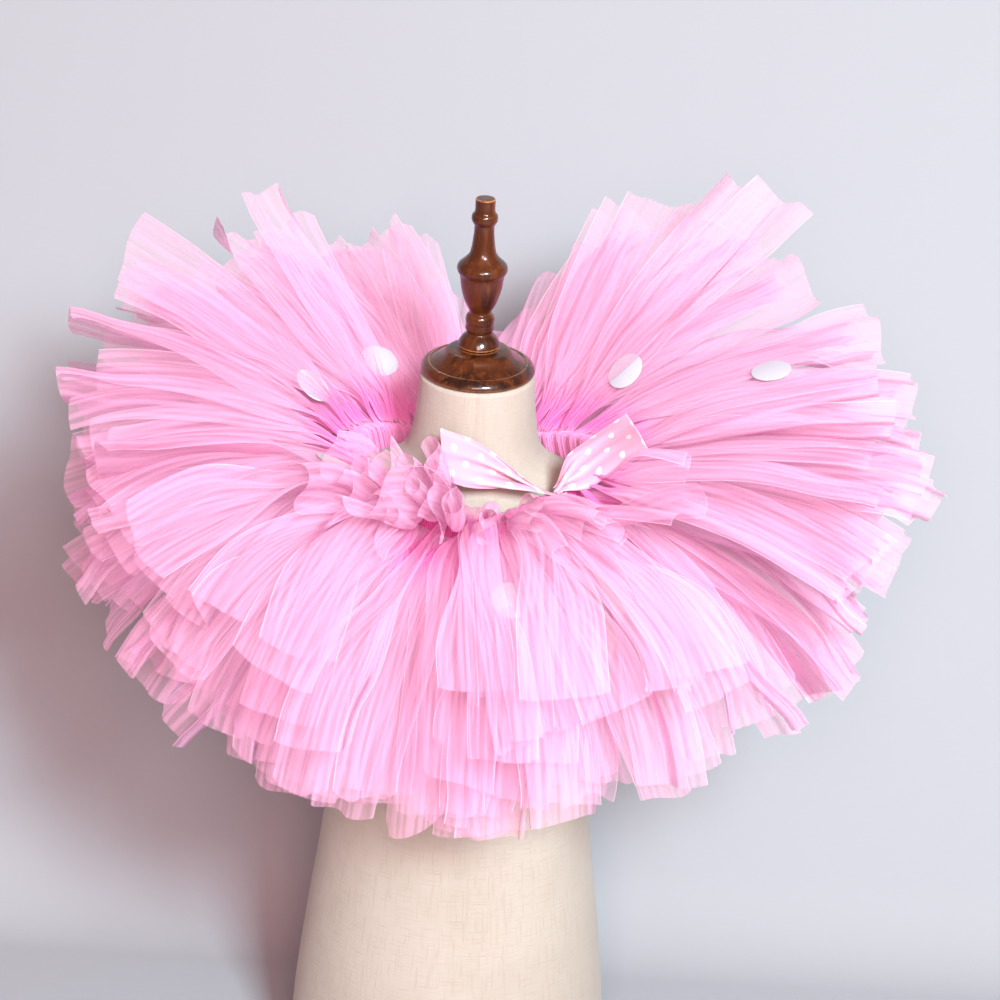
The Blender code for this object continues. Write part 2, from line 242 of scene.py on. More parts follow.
def join(tree, shader, **sockets):
    """Joins each socket to the shader's input of that name."""
    for key, socket in sockets.items():
        tree.links.new(socket, shader.inputs[key.replace("_", " ")])


def bump_by(tree, shader, height, distance, strength):
    """Bumps the shader's normal by a height."""
    bump = add_node(tree, "Bump", None, Height=height, Distance=distance, Strength=strength)
    join(tree, shader, Normal=bump.outputs[0])


def new_group(name, inputs, outputs):
    """An empty node group with named inputs (name, type, default) and outputs (name, type)."""
    tree = bpy.data.node_groups.new(name, "ShaderNodeTree")
    for key, kind, default in inputs:
        made = tree.interface.new_socket(key, in_out="INPUT", socket_type="NodeSocket" + kind)
        if default is not None:
            made.default_value = default
    for key, kind in outputs:
        tree.interface.new_socket(key, in_out="OUTPUT", socket_type="NodeSocket" + kind)
    return tree, tree.nodes.new("NodeGroupInput").outputs, tree.nodes.new("NodeGroupOutput").inputs


def new_material(name, **inputs):
    """A material with one Principled shader. Returns the material, its tree and the shader node."""
    finish = bpy.data.materials.new(name)
    finish.use_nodes = True
    shader = finish.node_tree.nodes["Principled BSDF"]
    for key, value in inputs.items():
        shader.inputs[key.replace("_", " ")].default_value = value
    return finish, finish.node_tree, shader


def finish_piece(piece, material, slot, *nodes):
    """Gives a new piece its finish and its body, and hides the nodes of the rigid model that it stands for.
    """
    piece.data.materials.append(material)
    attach(piece, "root")
    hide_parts(*nodes)


LILAC = (0.40, 0.44, 0.475, 1)
paper, paper_tree, paper_shader = new_material("lilac_paper", Base_Color=LILAC, Roughness=0.9)
behind = add_node(paper_tree, "NewGeometry").outputs["Backfacing"]
gone = add_node(paper_tree, "BsdfTransparent").outputs[0]
one_sided = add_node(paper_tree, "MixShader", None, i0=behind, i1=paper_shader.outputs[0], i2=gone)
join(paper_tree, paper_tree.nodes["Material Output"], Surface=one_sided.outputs[0])
backdrop.data.materials.append(paper)

# %% [markdown]
# ## Where the strips lie
# Twenty-eight places share the band out evenly, and at one of them the ribbon is tied instead. At each
# place a bunch of strips is looped over the elastic. A tail leaves the band along an arc that turns evenly
# from one slope to another: up and over at the sides, level at the back, and down at the front. The arcs
# are kept in a table, a row for each direction round the band, and every tail mixes two rows. Directions
# are told in degrees: 0 is the wearer's left, 90 the back and 270 the front.

# %% The band and the arcs
BAND_HALF_WIDTH = 80 * MM
BAND_HALF_DEPTH = 60 * MM
BAND_CENTRE = np.array([2, -2, 0]) * MM
BAND_HEIGHT = 478.8 * MM
BAND_RISE = 12 * MM
STRIP_PLACES = 28
FIRST_STRIP = 9.4  # degrees
RIBBON_PLACE = 24
# direction, upper tails' slope at the band and at the end, lower tails' slope at both, length in mm
TAIL_DIRECTIONS = np.array([
    (0, 40, 16, -8, -52, 212),
    (25, 46, 28, -6, -48, 213),
    (48, 55, 42, 0, -40, 217),
    (60, 54, 40, 0, -38, 208),
    (74, 42, 16, -2, -40, 194),
    (92, 30, -6, -6, -46, 180),
    (108, 46, 16, -2, -40, 190),
    (118, 52, 34, 0, -38, 195),
    (132, 52, 38, 0, -38, 198),
    (152, 46, 26, -6, -48, 199),
    (180, 38, 8, -10, -56, 197),
    (215, 38, -16, -26, -68, 194),
    (240, 36, -46, -44, -78, 189),
    (270, 34, -66, -54, -84, 183),
    (300, 36, -46, -44, -78, 190),
    (325, 26, -20, -28, -68, 204),
    (345, 30, 4, -18, -58, 210),
    (360, 40, 16, -8, -52, 212),
], float)


def ease(value, low, high):
    """0 up to low, 1 from high on, and smooth between."""
    share = np.clip((value - low) / (high - low), 0, 1)
    return share * share * (3 - 2 * share)


def bell(value, middle, spread):
    """1 in the middle and less on both sides: e to minus the square of the distance, counted in spreads."""
    return np.exp(-(((value - middle) / spread) ** 2))


def place_degrees(place):
    """The direction of a place on the band: the places share out the full turn."""
    return FIRST_STRIP + place * 360 / STRIP_PLACES


def degrees_between(degrees, other):
    """How far one direction lies from another, from -180 to 180."""
    return (degrees - other + 180) % 360 - 180


def leftwards(direction):
    """The level unit vector at right angles to a direction: minus its sine, its cosine and 0."""
    return np.stack([-np.sin(direction), np.cos(direction), 0 * direction], axis=-1)


def tail_values(degrees):
    """The table's row for any directions, mixed smoothly from its two neighbours: a column for each value."""
    degrees = np.asarray(degrees) % 360
    after = np.clip(np.searchsorted(TAIL_DIRECTIONS[:, 0], degrees), 1, len(TAIL_DIRECTIONS) - 1)
    low, high = TAIL_DIRECTIONS[after - 1], TAIL_DIRECTIONS[after]
    share = ease(degrees, low[..., 0], high[..., 0])[..., None]
    return (low + (high - low) * share)[..., 1:]


def band_radius(direction):
    """Distance from the band's centre to its oval: the polar form of an ellipse."""
    across, along = BAND_HALF_DEPTH * np.cos(direction), BAND_HALF_WIDTH * np.sin(direction)
    return BAND_HALF_WIDTH * BAND_HALF_DEPTH / np.hypot(across, along)


def near_band(direction, outwards, up):
    """Points that lie that far outwards of the band's middle line, and above it."""
    radius = band_radius(direction) + outwards
    height = BAND_HEIGHT + BAND_RISE * np.cos(2 * direction) + up
    flat = np.stack([radius * np.cos(direction), radius * np.sin(direction), height], axis=-1)
    return BAND_CENTRE + flat


print("upper tails at the front turn from", tail_values(270)[0], "to", tail_values(270)[1], "degrees")

# %% [markdown]
# ## Tulle strips
# A strip of tulle is a flat ribbon of net. Tied in a knot it gathers into folds, and beyond the knot the
# folds open out towards the cut end, so the same width of net is always there. Simulating them all would be
# slow. Instead each cross-section is drawn as a curve whose direction swings from side to side with the
# distance across it. A wide swing packs the cloth into folds that lie over each other, and a narrow one
# leaves it nearly flat, and the cloth's width stays true either way.
#
# The middle line comes first. The tails of a bunch lie one above the other in storeys, 0 the highest and 3
# the lowest. Round the front many upper tails stand up as short puffs with curled ends. In front of a felt
# dot that has to be seen the tails lie lower, and in front of one that is veiled they stay high.

# %% The path of a strip
STRIPS_AT_A_PLACE = 6
STRIP_WIDTH = 60 * MM
TAIL_ROWS = 26
ROW_SPACING = 1.1  # the rows lie a little closer together near the band
STRIP_COLUMNS = 29
LOOP_MM = np.array([
    (4.6, 8.8), (2.6, 9.7), (0, 10.0), (-2.4, 9.2), (-3.1, 6.2), (-3.1, 0),
    (-3.1, -6.2), (-2.4, -9.2), (0, -10.0), (2.6, -9.7), (4.6, -8.8),
])  # outwards, up
LOWEST_STOREY = 3
STOREY_STEPS = np.linspace(0, 1, STRIPS_AT_A_PLACE)  # how far each strip lies from the bunch's first storey
UPPER_STOREYS = 1.6  # that the upper tails fill, down from the highest
LOWER_STOREYS = 0.95  # that the lower tails fill, up from the lowest
SECOND_LOWER = 0.2  # storeys by which the upper tails of every second bunch lie lower
LENGTH_SPREAD = (-28, 8)  # mm against the table
START_SPREAD = (-5, 5)  # degrees against the table, at the band
END_SPREAD = (-11, 9)  # degrees against the table, at the cut end


def tail_slopes(degrees, storey):
    """The slopes in degrees at the band and at the end: the table's upper ones at storey 0, the lower ones
    at 3, and evenly mixed between."""
    values = tail_values(degrees)
    start = values[..., 0] + (values[..., 2] - values[..., 0]) * storey / LOWEST_STOREY
    return start, values[..., 1] + (values[..., 3] - values[..., 1]) * storey / LOWEST_STOREY


def tail_arc(start, end, length, share):
    """How far outwards and up from the band a tail runs: an arc of a circle that turns evenly from the slope
    at the band to the slope at the end. share runs from 0 to 1 along it."""
    start, end = np.radians(start), np.radians(end)
    turn = ((end - start) / length)[:, None]
    slope = start[:, None] + turn * length[:, None] * share
    outwards = (np.sin(slope) - np.sin(start)[:, None]) / turn
    up = -(np.cos(slope) - np.cos(start)[:, None]) / turn
    return np.stack([outwards, up], axis=-1)


# where the felt dots sit: place, storey (below 2 on an upper tail), distance from the band and how far to the
# tail's left in mm, and the face that carries it (1 the upper, -1 the lower)
DOT_PLACES = np.array([
    (9, 1, 60, 2, 1),
    (12, 0, 42, 6, 1),
    (16, 0, 42, 4, 1),
    (11, 1, 114, 10, 1),
    (2, 0, 56, -7, 1),
    (1, 1, 128, -24, 1),
    (21, 1, 82, 4, 1),
    (14, 2, 96, 12, -1),
    (7, 3, 92, 8, -1),
    (4, 2, 118, -12, -1),
    (9, 3, 122, 10, -1),
    (0, 2, 84, -8, -1),
])
CARRIER = 2  # the strip of a bunch that carries its dots
# in front of the dots that are not veiled no tail lies higher: direction, degrees to each side, storey
BARE_SIDES = ((125, 10, 1), (164, 10, 0), (214, 13, 0), (34, 12, 0), (17, 10, 1), (2, 5, 0.3))
BARE_BELOW = 0.35  # storeys by which the tails there lie lower than the dot's
VEILED_PLACE = 21  # where the upper tails cover a dot in front
VEILED_STOREY = 0.6  # and lie no lower than this
SHORT_SIDE, SHORT_SPREAD, SHORT_BY = 66, 14, 30 * MM  # where the upper tails are cut shorter
PUFF_SIDE, PUFF_SPREAD, PUFF_LIKELY = 266, 46, 0.85  # where most upper tails are short puffs
PUFF_RISE = (-20, 26)  # degrees against the highest storey
PUFF_BEND = (15, 50)  # degrees by which it turns down towards its end
PUFF_LENGTH = (0.48, 0.62)  # as a share of a tail's
PUFF_TRIM = 0.6 * MM  # for each degree that it rises
FRONT_SIDE, FRONT_SPREAD = 275, 26  # where the puffs stand up evenly, to hide the knots
FRONT_RISE = 20  # degrees
FRONT_EVEN = 0.7  # how much of the spread of their rise is taken away


def strip_paths(place, draw):
    """The middle lines of one place's strips, from the upper cut end over the elastic to the lower one.

    Returns for each strip and row: outwards and up from the band, the distance from the band (less than 0
    on the upper tail), the distance to the cut end, the directions on the band, and which upper tails are
    puffs. A tail with a dot keeps to its storey's own arc. A puff is short and hardly bends down, so that it
    shows its curled cut end in front."""
    count = STRIPS_AT_A_PLACE
    degrees = place_degrees(place + (np.arange(count) - CARRIER) / count)
    share = np.linspace(0, 1, TAIL_ROWS)[None, 1:] ** ROW_SPACING
    tails = []
    for side in (-1, 1):
        upper = side < 0
        step = draw.permutation(STOREY_STEPS)
        highest = SECOND_LOWER * (place % 2)
        storey = highest + UPPER_STOREYS * step if upper else LOWEST_STOREY - LOWER_STOREYS * step
        length = (tail_values(degrees)[:, 4] + draw.uniform(*LENGTH_SPREAD, count)) * MM
        length = length - SHORT_BY * bell(degrees, SHORT_SIDE, SHORT_SPREAD) * upper
        likely = PUFF_LIKELY * bell(degrees, PUFF_SIDE, PUFF_SPREAD) * upper
        for at, width, dotted in BARE_SIDES if upper else ():
            beside = np.abs(degrees_between(degrees, at)) < width
            storey = np.where(beside, np.maximum(storey, dotted + BARE_BELOW), storey)
            likely = np.where(beside, 0, likely)
        storey = np.minimum(storey, VEILED_STOREY) if place == VEILED_PLACE and upper else storey
        own = DOT_PLACES[(DOT_PLACES[:, 0] == place) & ((DOT_PLACES[:, 1] < 2) == upper)]
        puff = draw.uniform(0, 1, count) < likely
        puff[CARRIER] &= len(own) == 0
        if place == VEILED_PLACE:
            puff[[CARRIER - 1, CARRIER + 1, CARRIER + 2]] = False
        start, end = tail_slopes(degrees, np.where(puff, 0, storey))
        in_front = bell(degrees, FRONT_SIDE, FRONT_SPREAD)
        rise = draw.uniform(*PUFF_RISE, count) * (1 - FRONT_EVEN * in_front) + FRONT_RISE * in_front
        rise = np.where(puff, rise, 0)
        start = start + draw.uniform(*START_SPREAD, count) + rise
        end = np.where(puff, start - draw.uniform(*PUFF_BEND, count), end + draw.uniform(*END_SPREAD, count))
        length = np.where(puff, length * draw.uniform(*PUFF_LENGTH, count) - PUFF_TRIM * rise, length)
        if len(own):
            length[CARRIER] = tail_values(degrees[CARRIER])[4] * MM
            start[CARRIER], end[CARRIER] = tail_slopes(degrees[CARRIER], own[0, 1])
            start[CARRIER], end[CARRIER] = tail_slopes(degrees[CARRIER], own[0, 1])
        arc = tail_arc(start, end, length, share) + LOOP_MM[0 if side < 0 else -1] * MM
        tails.append((arc, side * length[:, None] * share, length[:, None] * (1 - share), puff))
    loop = np.broadcast_to(LOOP_MM * MM, (count, *LOOP_MM.shape))
    path = np.concatenate([tails[0][0][:, ::-1], loop, tails[1][0]], axis=1)
    still = np.zeros((count, len(LOOP_MM)))
    distance = np.concatenate([tails[0][1][:, ::-1], still, tails[1][1]], axis=1)
    to_end = np.concatenate([tails[0][2][:, ::-1], still + 1, tails[1][2]], axis=1)
    return path, distance, to_end, np.radians(degrees), tails[0][3]


path, distance, *_ = strip_paths(0, np.random.default_rng(1))
print("one place:", path.shape, "rows, longest tail", round(float(distance.max()) / MM), "mm")

# %% [markdown]
# Now the folds. In the knot the cloth zigzags tightly. Out on the tail it is creased lengthwise and lies
# flat, and doubles back over itself at each crease, or is only bent there. So the direction of the cloth
# steps between two angles, 0 and a turn that is drawn for each tail, and a smooth step keeps every crease
# round. The puffs, and partly the front tails near the band, are looped instead: there the direction is a
# sine of the distance across.
#
# The whole strip also rolls, drifts to one side, ripples and is cut at a slant, each in its own way for
# each strip, so that no two tails look the same. Each range below is a lowest and a highest draw.

# %% The folds of a strip
SWING_AT_BAND = 2.1  # radians: the folds lie well over each other
SLOW_SWING_AT_BAND = 0.3
FOLDS_AT_BAND = 5
SQUEEZE_AT_BAND = 0.45  # the knot also crushes the folds together
SQUEEZE_OVER = 55 * MM
CRUSH_POWER = -1.7  # how fast the net closes up where it is squeezed
ROUND_SIDE = math.radians(225)  # the tails on this side curl into round lobes
WRAPPED_OVER = 25 * MM
WRAP_BULGE = 1.3 * MM  # how far the turns round the elastic swell, like the strands of a rope
WRAP_PITCH = math.radians(360 / STRIP_PLACES / 1.5)
WRAP_LEAN = 0.35  # how far they slant, as a share of their height
SOFTNESS = 1.1  # how far the shading leans towards that of the unfolded tail
PUFF_CRISPNESS = 0.7  # how much of that leaning a puff goes without
DOUBLED = 0.8  # share of the tails that double back at their creases
DOUBLED_TURN, BENT_TURN = (2.3, 2.95), (0.7, 1.8)  # radians
DOUBLED_FOLDS, BENT_FOLDS = (0.9, 1.9), (1.6, 3.0)
FOLD_WANDER = (-0.15, 0.15)  # folds to the side for each 100 mm along
FOLD_BIAS = (0.3, 0.7)
CREASE_SHARPNESS = (0.9, 3.2)
CURL, ROUND_CURL = (-0.8, 0.8), (-2.2, 2.2)  # radians from edge to edge, anywhere and on the round side
LOOP_SWING, LOOP_FOLDS, LOOP_SLOW_SWING = (1.6, 2.6), (0.45, 0.95), (0, 0.8)
LOOP_LIFT_MM = (0, 16)
CUP_MM = (-6, 6)
RIPPLE_MM, RIPPLE_LENGTH = (0.3, 1.5), (0.09, 0.16)
TIP_MM = (-10, 10)  # how far the cut end flicks up or down
ROLL = (-0.9, 0.9)  # radians at the cut end
DRIFT = (-7, 7)  # degrees
SLANT = (-0.22, 0.22)  # of the cut, as a share of the width
TRAIL_MM, ROUND_TRAIL_MM = (0, 2), (1, 8)  # how far the corners of the cut end fall back


def drawn(width, across, angle):
    """The section's points (sideways, height) for the cloth's direction at each place across: adding up its
    cosine and its sine gives the two coordinates."""
    step = width * np.gradient(across, axis=-1)
    sideways = np.cumsum(np.cos(angle) * step, axis=-1)
    height = np.cumsum(np.sin(angle) * step, axis=-1)
    return sideways - sideways.mean(-1, keepdims=True), height - height.mean(-1, keepdims=True)


def fold_section(width, across, swing, phase, folds, skew):
    """Round folds: the direction is swing times the sine of the distance across, plus a slower sine."""
    angle = swing * np.sin(2 * np.pi * (folds * across + phase))
    return drawn(width, across, angle + skew * np.sin(2 * np.pi * (0.5 * folds * across + 1.7 * phase)))


def crease_section(width, across, turn, phase, folds, bias, curl, sharp):
    """Flat folds: the direction steps from 0 to turn and back as the hyperbolic tangent of a sine. bias makes
    one of the two stretches longer. The mean direction is taken off again, so that the section lies level."""
    steps = np.tanh(sharp * (np.sin(2 * np.pi * (folds * across + phase)) - bias))
    angle = turn * (1 + steps) / 2 + curl * (across - 0.5)
    level = np.arctan2(np.sin(angle).mean(-1, keepdims=True), np.cos(angle).mean(-1, keepdims=True))
    return drawn(width, across, angle - level)


CALM_SPREAD = 11  # degrees beside a dot
CALM_BEYOND_MM = (20, 55)  # the calm ends smoothly between these distances beyond the dot's middle


def calm_near_dots(place, direction, distance):
    """How flat the cloth lies near the dots: 1 at a dot's own direction up to a little beyond it, and less
    beside it, as a bell-shaped curve of the angle. The second value is for the tail that carries the dot."""
    calm, pressed = np.zeros((2, *distance.shape))
    for at, storey, reach, _, _ in DOT_PLACES:
        apart = degrees_between(np.degrees(direction), place_degrees(at))
        inside = 1 - ease(np.abs(distance), *((reach + beyond) * MM for beyond in CALM_BEYOND_MM))
        inside = inside * ((distance < 0) == (storey < 2))
        calm = np.maximum(calm, bell(apart, 0, CALM_SPREAD)[:, None] * inside)
        if at == place:
            pressed[CARRIER] = np.maximum(pressed[CARRIER], inside[CARRIER])
    return calm[..., None], pressed[..., None]


def softened(points, above, soft):
    """The normals to shade a strip with. Light soaks through the net and evens out its folds, so each normal
    is leant towards the unfolded tail's own, on whichever face of it the fold shows. soft tells how far."""
    facing = np.cross(np.gradient(points, axis=2), np.gradient(points, axis=1))
    facing = facing / np.maximum(np.linalg.norm(facing, axis=-1, keepdims=True), 1e-12)
    leant = facing + soft * np.tanh(6 * (facing * above).sum(-1, keepdims=True)) * above
    return leant / np.linalg.norm(leant, axis=-1, keepdims=True)


def laid_on_path(path, direction, reach, sideways, height, roll, drift, slant):
    """Points of folded sections, carried along their paths, and the unfolded tails' own upward directions.

    Each section is turned by its roll, set upright on the path, and moved round the band by its drift. Near
    the band the cloth is wrapped: it swells as a cosine of the place round the band, like turns of rope."""
    along = np.gradient(path, axis=1)
    along = along / np.linalg.norm(along, axis=-1, keepdims=True)
    normal = np.stack([-along[..., 1], along[..., 0]], axis=-1)
    turned_side = sideways * np.cos(roll) - height * np.sin(roll)
    turned_height = sideways * np.sin(roll) + height * np.cos(roll)
    outwards = path[..., :1] + normal[..., :1] * turned_height + along[..., :1] * slant
    up = path[..., 1:] + normal[..., 1:] * turned_height + along[..., 1:] * slant
    wrapped = 1 - ease(reach, 0, WRAPPED_OVER)
    bulge = WRAP_BULGE * np.cos(2 * np.pi * (direction + sideways / BAND_HALF_WIDTH) / WRAP_PITCH)
    outwards = outwards + wrapped * np.sign(path[..., :1] - 1 * MM) * bulge
    lean = WRAP_LEAN * wrapped * path[..., 1:] / BAND_HALF_WIDTH
    around = direction + drift + lean + 0 * outwards
    left = leftwards(around)
    points = near_band(around, outwards, up) + turned_side[..., None] * left
    above = np.cross([0, 0, 1], left) * -normal[..., :1, None] + normal[..., 1:, None] * np.array([0, 0, 1])
    return points, above


def strip_sheets(place, draw):
    """All the points of one place's strips, as grids of (strip, row, column), with the cloth's own
    coordinates in metres, how tightly it is gathered, how far a puff's cut end is, and the normals to shade
    it with.

    Every section mixes three: the knot's tight folds near the band, and creases or loops beyond it."""
    path, distance, to_end, direction, puff = strip_paths(place, draw)
    across = np.linspace(0, 1, STRIP_COLUMNS)[None, None, :]
    from_middle = 2 * across - 1
    reach = np.abs(distance)[..., None]
    upper = (distance < 0)[..., None]
    puff = puff[:, None, None] * upper
    aim = direction[:, None, None]
    far = ease(reach, 0, 170 * MM)
    front = ease(-np.sin(aim), 0.1, 0.9)
    rounder = ease(np.cos(aim - ROUND_SIDE), 0.2, 0.9)

    def each(low, high):
        """A draw for each strip's upper and lower tail."""
        first, second = draw.uniform(low, high, (2, len(distance), 1, 1))
        return np.where(upper, first, second)

    # the tight folds
    phase = each(0, 1) + 0 * reach
    tight = fold_section(STRIP_WIDTH, across, SWING_AT_BAND, phase, FOLDS_AT_BAND, SLOW_SWING_AT_BAND)
    # the creases
    doubled = each(0, 1) < DOUBLED
    turn = np.where(doubled, each(*DOUBLED_TURN), each(*BENT_TURN)) * (0.8 + 0.2 * (1 - far))
    phase = each(0, 1) + each(*FOLD_WANDER) * reach / (100 * MM)
    folds = np.where(doubled, each(*DOUBLED_FOLDS), each(*BENT_FOLDS))
    curl = each(*CURL) + each(*ROUND_CURL) * rounder * far
    sharp = each(*CREASE_SHARPNESS) * (1 - 0.5 * rounder)
    creased = crease_section(STRIP_WIDTH, across, turn, phase, folds, each(*FOLD_BIAS), curl, sharp)
    # the loops, and how far they take the place of the creases
    looped = fold_section(
        STRIP_WIDTH, across, each(*LOOP_SWING), phase, each(*LOOP_FOLDS), each(*LOOP_SLOW_SWING)
    )
    petal = 0.5 * front * (1 - ease(reach, 75 * MM, 150 * MM))
    petal = np.where(puff, 1.0, petal) * ease(reach, 6 * MM, 30 * MM)
    wide = [(1 - petal) * flat + petal * round_fold for flat, round_fold in zip(creased, looped)]
    # opening out, beyond the squeeze of the knot
    opened = ease(reach, 6 * MM, (85 - 55 * front) * MM)
    squeeze = SQUEEZE_AT_BAND + (1 - SQUEEZE_AT_BAND) * ease(reach, 4 * MM, SQUEEZE_OVER)
    sideways, height = (((1 - opened) * near + opened * out) * squeeze for near, out in zip(tight, wide))
    # the swing of the whole strip: cupped, lifted, rippled and flicked, but calm and pressed flat near a dot
    height = height + each(*CUP_MM) * MM * far * from_middle**2
    height = height + each(*LOOP_LIFT_MM) * MM * petal
    ripple = each(*RIPPLE_MM) * MM * far
    height = height + ripple * np.sin(2 * np.pi * (reach / each(*RIPPLE_LENGTH) + each(0, 1)))
    height = height + each(*TIP_MM) * MM * ease(reach, 150 * MM, 200 * MM) ** 2
    calm, pressed = calm_near_dots(place, direction, distance)
    calm = calm * (1 - 0.8 * front)
    loose = 1 - pressed
    height = height * (1 - 0.75 * calm) * loose - 5 * MM * calm * loose * ease(reach, 0, 30 * MM)
    roll = ease(reach, 15 * MM, 190 * MM) * each(*ROLL) * (1 - 0.7 * calm) * loose
    drift = np.radians(each(*DRIFT)) * ease(reach, 0, 200 * MM) * loose
    # the cut end, which slants and trails at its corners
    slant = each(*SLANT) * (across - 0.5) * STRIP_WIDTH * ease(reach, 60 * MM, 190 * MM) * loose
    trailing = (each(*TRAIL_MM) + each(*ROUND_TRAIL_MM) * rounder) * MM * np.where(upper, -1, 1)
    slant = slant - trailing * from_middle**4 * ease(reach / reach.max(1, keepdims=True), 0.7, 1)

    points, above = laid_on_path(path, aim, reach, sideways, height, roll, drift, slant)
    cloth = np.stack([across * STRIP_WIDTH + 0 * reach, distance[..., None] + 0 * across], axis=-1)
    gather = squeeze**CRUSH_POWER + 0 * across
    soft = SOFTNESS * (1 - PUFF_CRISPNESS * puff)[..., None]
    to_end = np.where(puff, to_end[..., None], 1.0) + 0 * across
    return points, cloth, gather, to_end, softened(points, above, soft)


points, *_ = strip_sheets(0, np.random.default_rng(1))
print("one place's strips:", points.shape[:3], "points")

# %% [markdown]
# ## The look of tulle
# Tulle is a net of fine threads, mostly holes. Seen straight on, one layer hides about a fifth of what is
# behind it. Seen at a slant, the threads close up and it hides more, which is why every fold shows as a
# pale line. Gathered in the knot it hides nearly all, and along the strip it is crushed unevenly, in fine
# lengthwise streaks.
#
# So the see-through part is worked out once in a group, as the share of the view that threads cover, and
# raised to a power for gathers, streaks and slant. The colour deepens to magenta near the band, where light
# has gone through many layers, and a faint glow stands for the light that soaks through all of them.

# %% Tulle material
net_group, net_in, net_out = new_group(
    "tulle net",
    [("Cloth", "Vector", None), ("To End", "Float", 1.0), ("Cell", "Float", 1.2 * MM),
     ("Thinnest", "Float", 0.14), ("Thickest", "Float", 0.28), ("Width", "Float", STRIP_WIDTH),
     ("Edge", "Float", 0.5 * MM)],
    [("Cover", "Float"), ("Rim", "Float")],
)
sums = partial(sum_of, net_group)
across, along, _ = split(net_group, net_in["Cloth"])
wave = sums("DIVIDE", 4 * math.pi / math.sqrt(3), net_in["Cell"])
waves = []
for turn in (0, 60, 120):  # three sets of waves, a sixth of a turn apart, add up to a honeycomb
    u = sums("MULTIPLY", across, math.cos(math.radians(turn)))
    v = sums("MULTIPLY", along, math.sin(math.radians(turn)))
    waves.append(sums("COSINE", sums("MULTIPLY", sums("ADD", u, v), wave)))
holes = sums("ADD", sums("ADD", waves[0], waves[1]), waves[2])
net = add_node(net_group, "MapRange", None, Value=holes, From_Min=1.0, From_Max=-1.2,
               To_Min=net_in["Thinnest"], To_Max=net_in["Thickest"]).outputs[0]
from_side = sums("MINIMUM", across, sums("SUBTRACT", net_in["Width"], across))
rim = sums("LESS_THAN", sums("MINIMUM", from_side, net_in["To End"]), net_in["Edge"])
net_group.links.new(net, net_out["Cover"])
net_group.links.new(rim, net_out["Rim"])

NET_GLOW = 0.14
STEEPEST_SLANT = 0.26  # of the view, past which the net closes up no more
STREAK_SCALE = 300.0
STREAK_STRETCH = 0.05  # streaks are twenty times as long as they are wide
STREAK_CRUSH = (0.6, 1.5)  # how far the net is crushed beside a streak and in it
RIM_COVER = 0.45
# painted highlight: how far the rim, along a strip's edges and a puff's cut end, is mixed towards a paler
# pink
RIM_PAINTED_HIGHLIGHT = 0.7


def tulle_material():
    """Pink net, see-through between its threads. What stays open is the share of holes, raised to the power
    of how far the net is crushed over how squarely it is seen."""
    finish, tree, shader = new_material(
        "pink_tulle", Roughness=0.7, Specular_IOR_Level=0.1, Sheen_Weight=0.3, Sheen_Roughness=0.6,
        Sheen_Tint=(1.0, 0.7, 0.9, 1), Emission_Strength=NET_GLOW, Emission_Color=(1.0, 0.36, 0.66, 1),
    )
    sums = partial(sum_of, tree)
    cloth = cloth_place(tree)
    gather, tint, to_end = (point_value(tree, name) for name in ("gather", "tint", "to_end"))
    net = add_node(tree, "Group", {"node_tree": net_group}, Cloth=cloth, To_End=to_end).outputs
    facing = add_node(tree, "LayerWeight", None, Blend=0.5).outputs["Facing"]
    slant = sums("MAXIMUM", sums("SUBTRACT", 1.0, facing), STEEPEST_SLANT)
    across, along, _ = split(tree, cloth)
    where = {"X": sums("ADD", across, tint), "Y": sums("MULTIPLY", along, STREAK_STRETCH)}
    streaks = noise(tree, add_node(tree, "CombineXYZ", None, **where).outputs[0], STREAK_SCALE, 0.0)
    streaks.node.noise_dimensions = "2D"
    crushed = sums("MULTIPLY", gather, ramp(tree, streaks, 0.25, 0.75, *STREAK_CRUSH))
    holes = sums("SUBTRACT", 1.0, net["Cover"])
    cover = sums("SUBTRACT", 1.0, sums("POWER", holes, sums("DIVIDE", crushed, slant)))
    cover = sums("MAXIMUM", cover, sums("MULTIPLY", net["Rim"], RIM_COVER))
    depth = sums("ABSOLUTE", along)
    nearer, farther = ramp(tree, depth, 1 * MM, 10 * MM, 0.5, 1), ramp(tree, depth, 10 * MM, 50 * MM, 1, 0)
    body = mix_colour(tree, tint, (1.0, 0.47, 0.73, 1), (1.0, 0.55, 0.81, 1))
    body = mix_colour(tree, sums("MULTIPLY", nearer, farther), body, (1.0, 0.20, 0.60, 1))
    # painted highlight: the rim is drawn in a paler pink than the body
    colour = mix_colour(tree, sums("MULTIPLY", net["Rim"], RIM_PAINTED_HIGHLIGHT), body, (1.0, 0.75, 0.93, 1))
    join(tree, shader, Base_Color=colour, Alpha=cover)
    return finish


tulle = tulle_material()
print("tulle:", len(tulle.node_tree.nodes), "nodes")

# %% Tie the strips
draw = np.random.default_rng(19)
strip_faces = grid_faces(points.shape[1], points.shape[2], STRIPS_AT_A_PLACE)
for place in range(STRIP_PLACES):
    if place == RIBBON_PLACE:
        continue
    points, cloth, gather, to_end, normals = strip_sheets(place, draw)
    values = {"gather": gather, "tint": draw.uniform(0, 1, (STRIPS_AT_A_PLACE, 1, 1)) + 0 * gather}
    values["to_end"] = to_end
    bunch = new_mesh(f"tulle_{place + 1:02d}", points, strip_faces, cloth, values)
    bunch.data.normals_split_custom_set_from_vertices(normals.reshape(-1, 3))
    finish_piece(bunch, tulle, "tulle", f"tulle_strip_{place + 1:02d}")
triangles = 2 * len(strip_faces) // STRIPS_AT_A_PLACE
print("strips tied:", (STRIP_PLACES - 1) * STRIPS_AT_A_PLACE, "each", triangles, "triangles")

# %% [markdown]
# ## Dress form
# The form is a padded torso under linen, cut off at the hips and without limbs. Its outline is given by a
# table of levels, each an oval that is more or less square. A smooth curve is run through each column of
# the table, so that the fine surface passes through the same levels as the rigid one. The linen is sewn
# together down the front, the back and the sides, and each seam pulls the padding in a little.

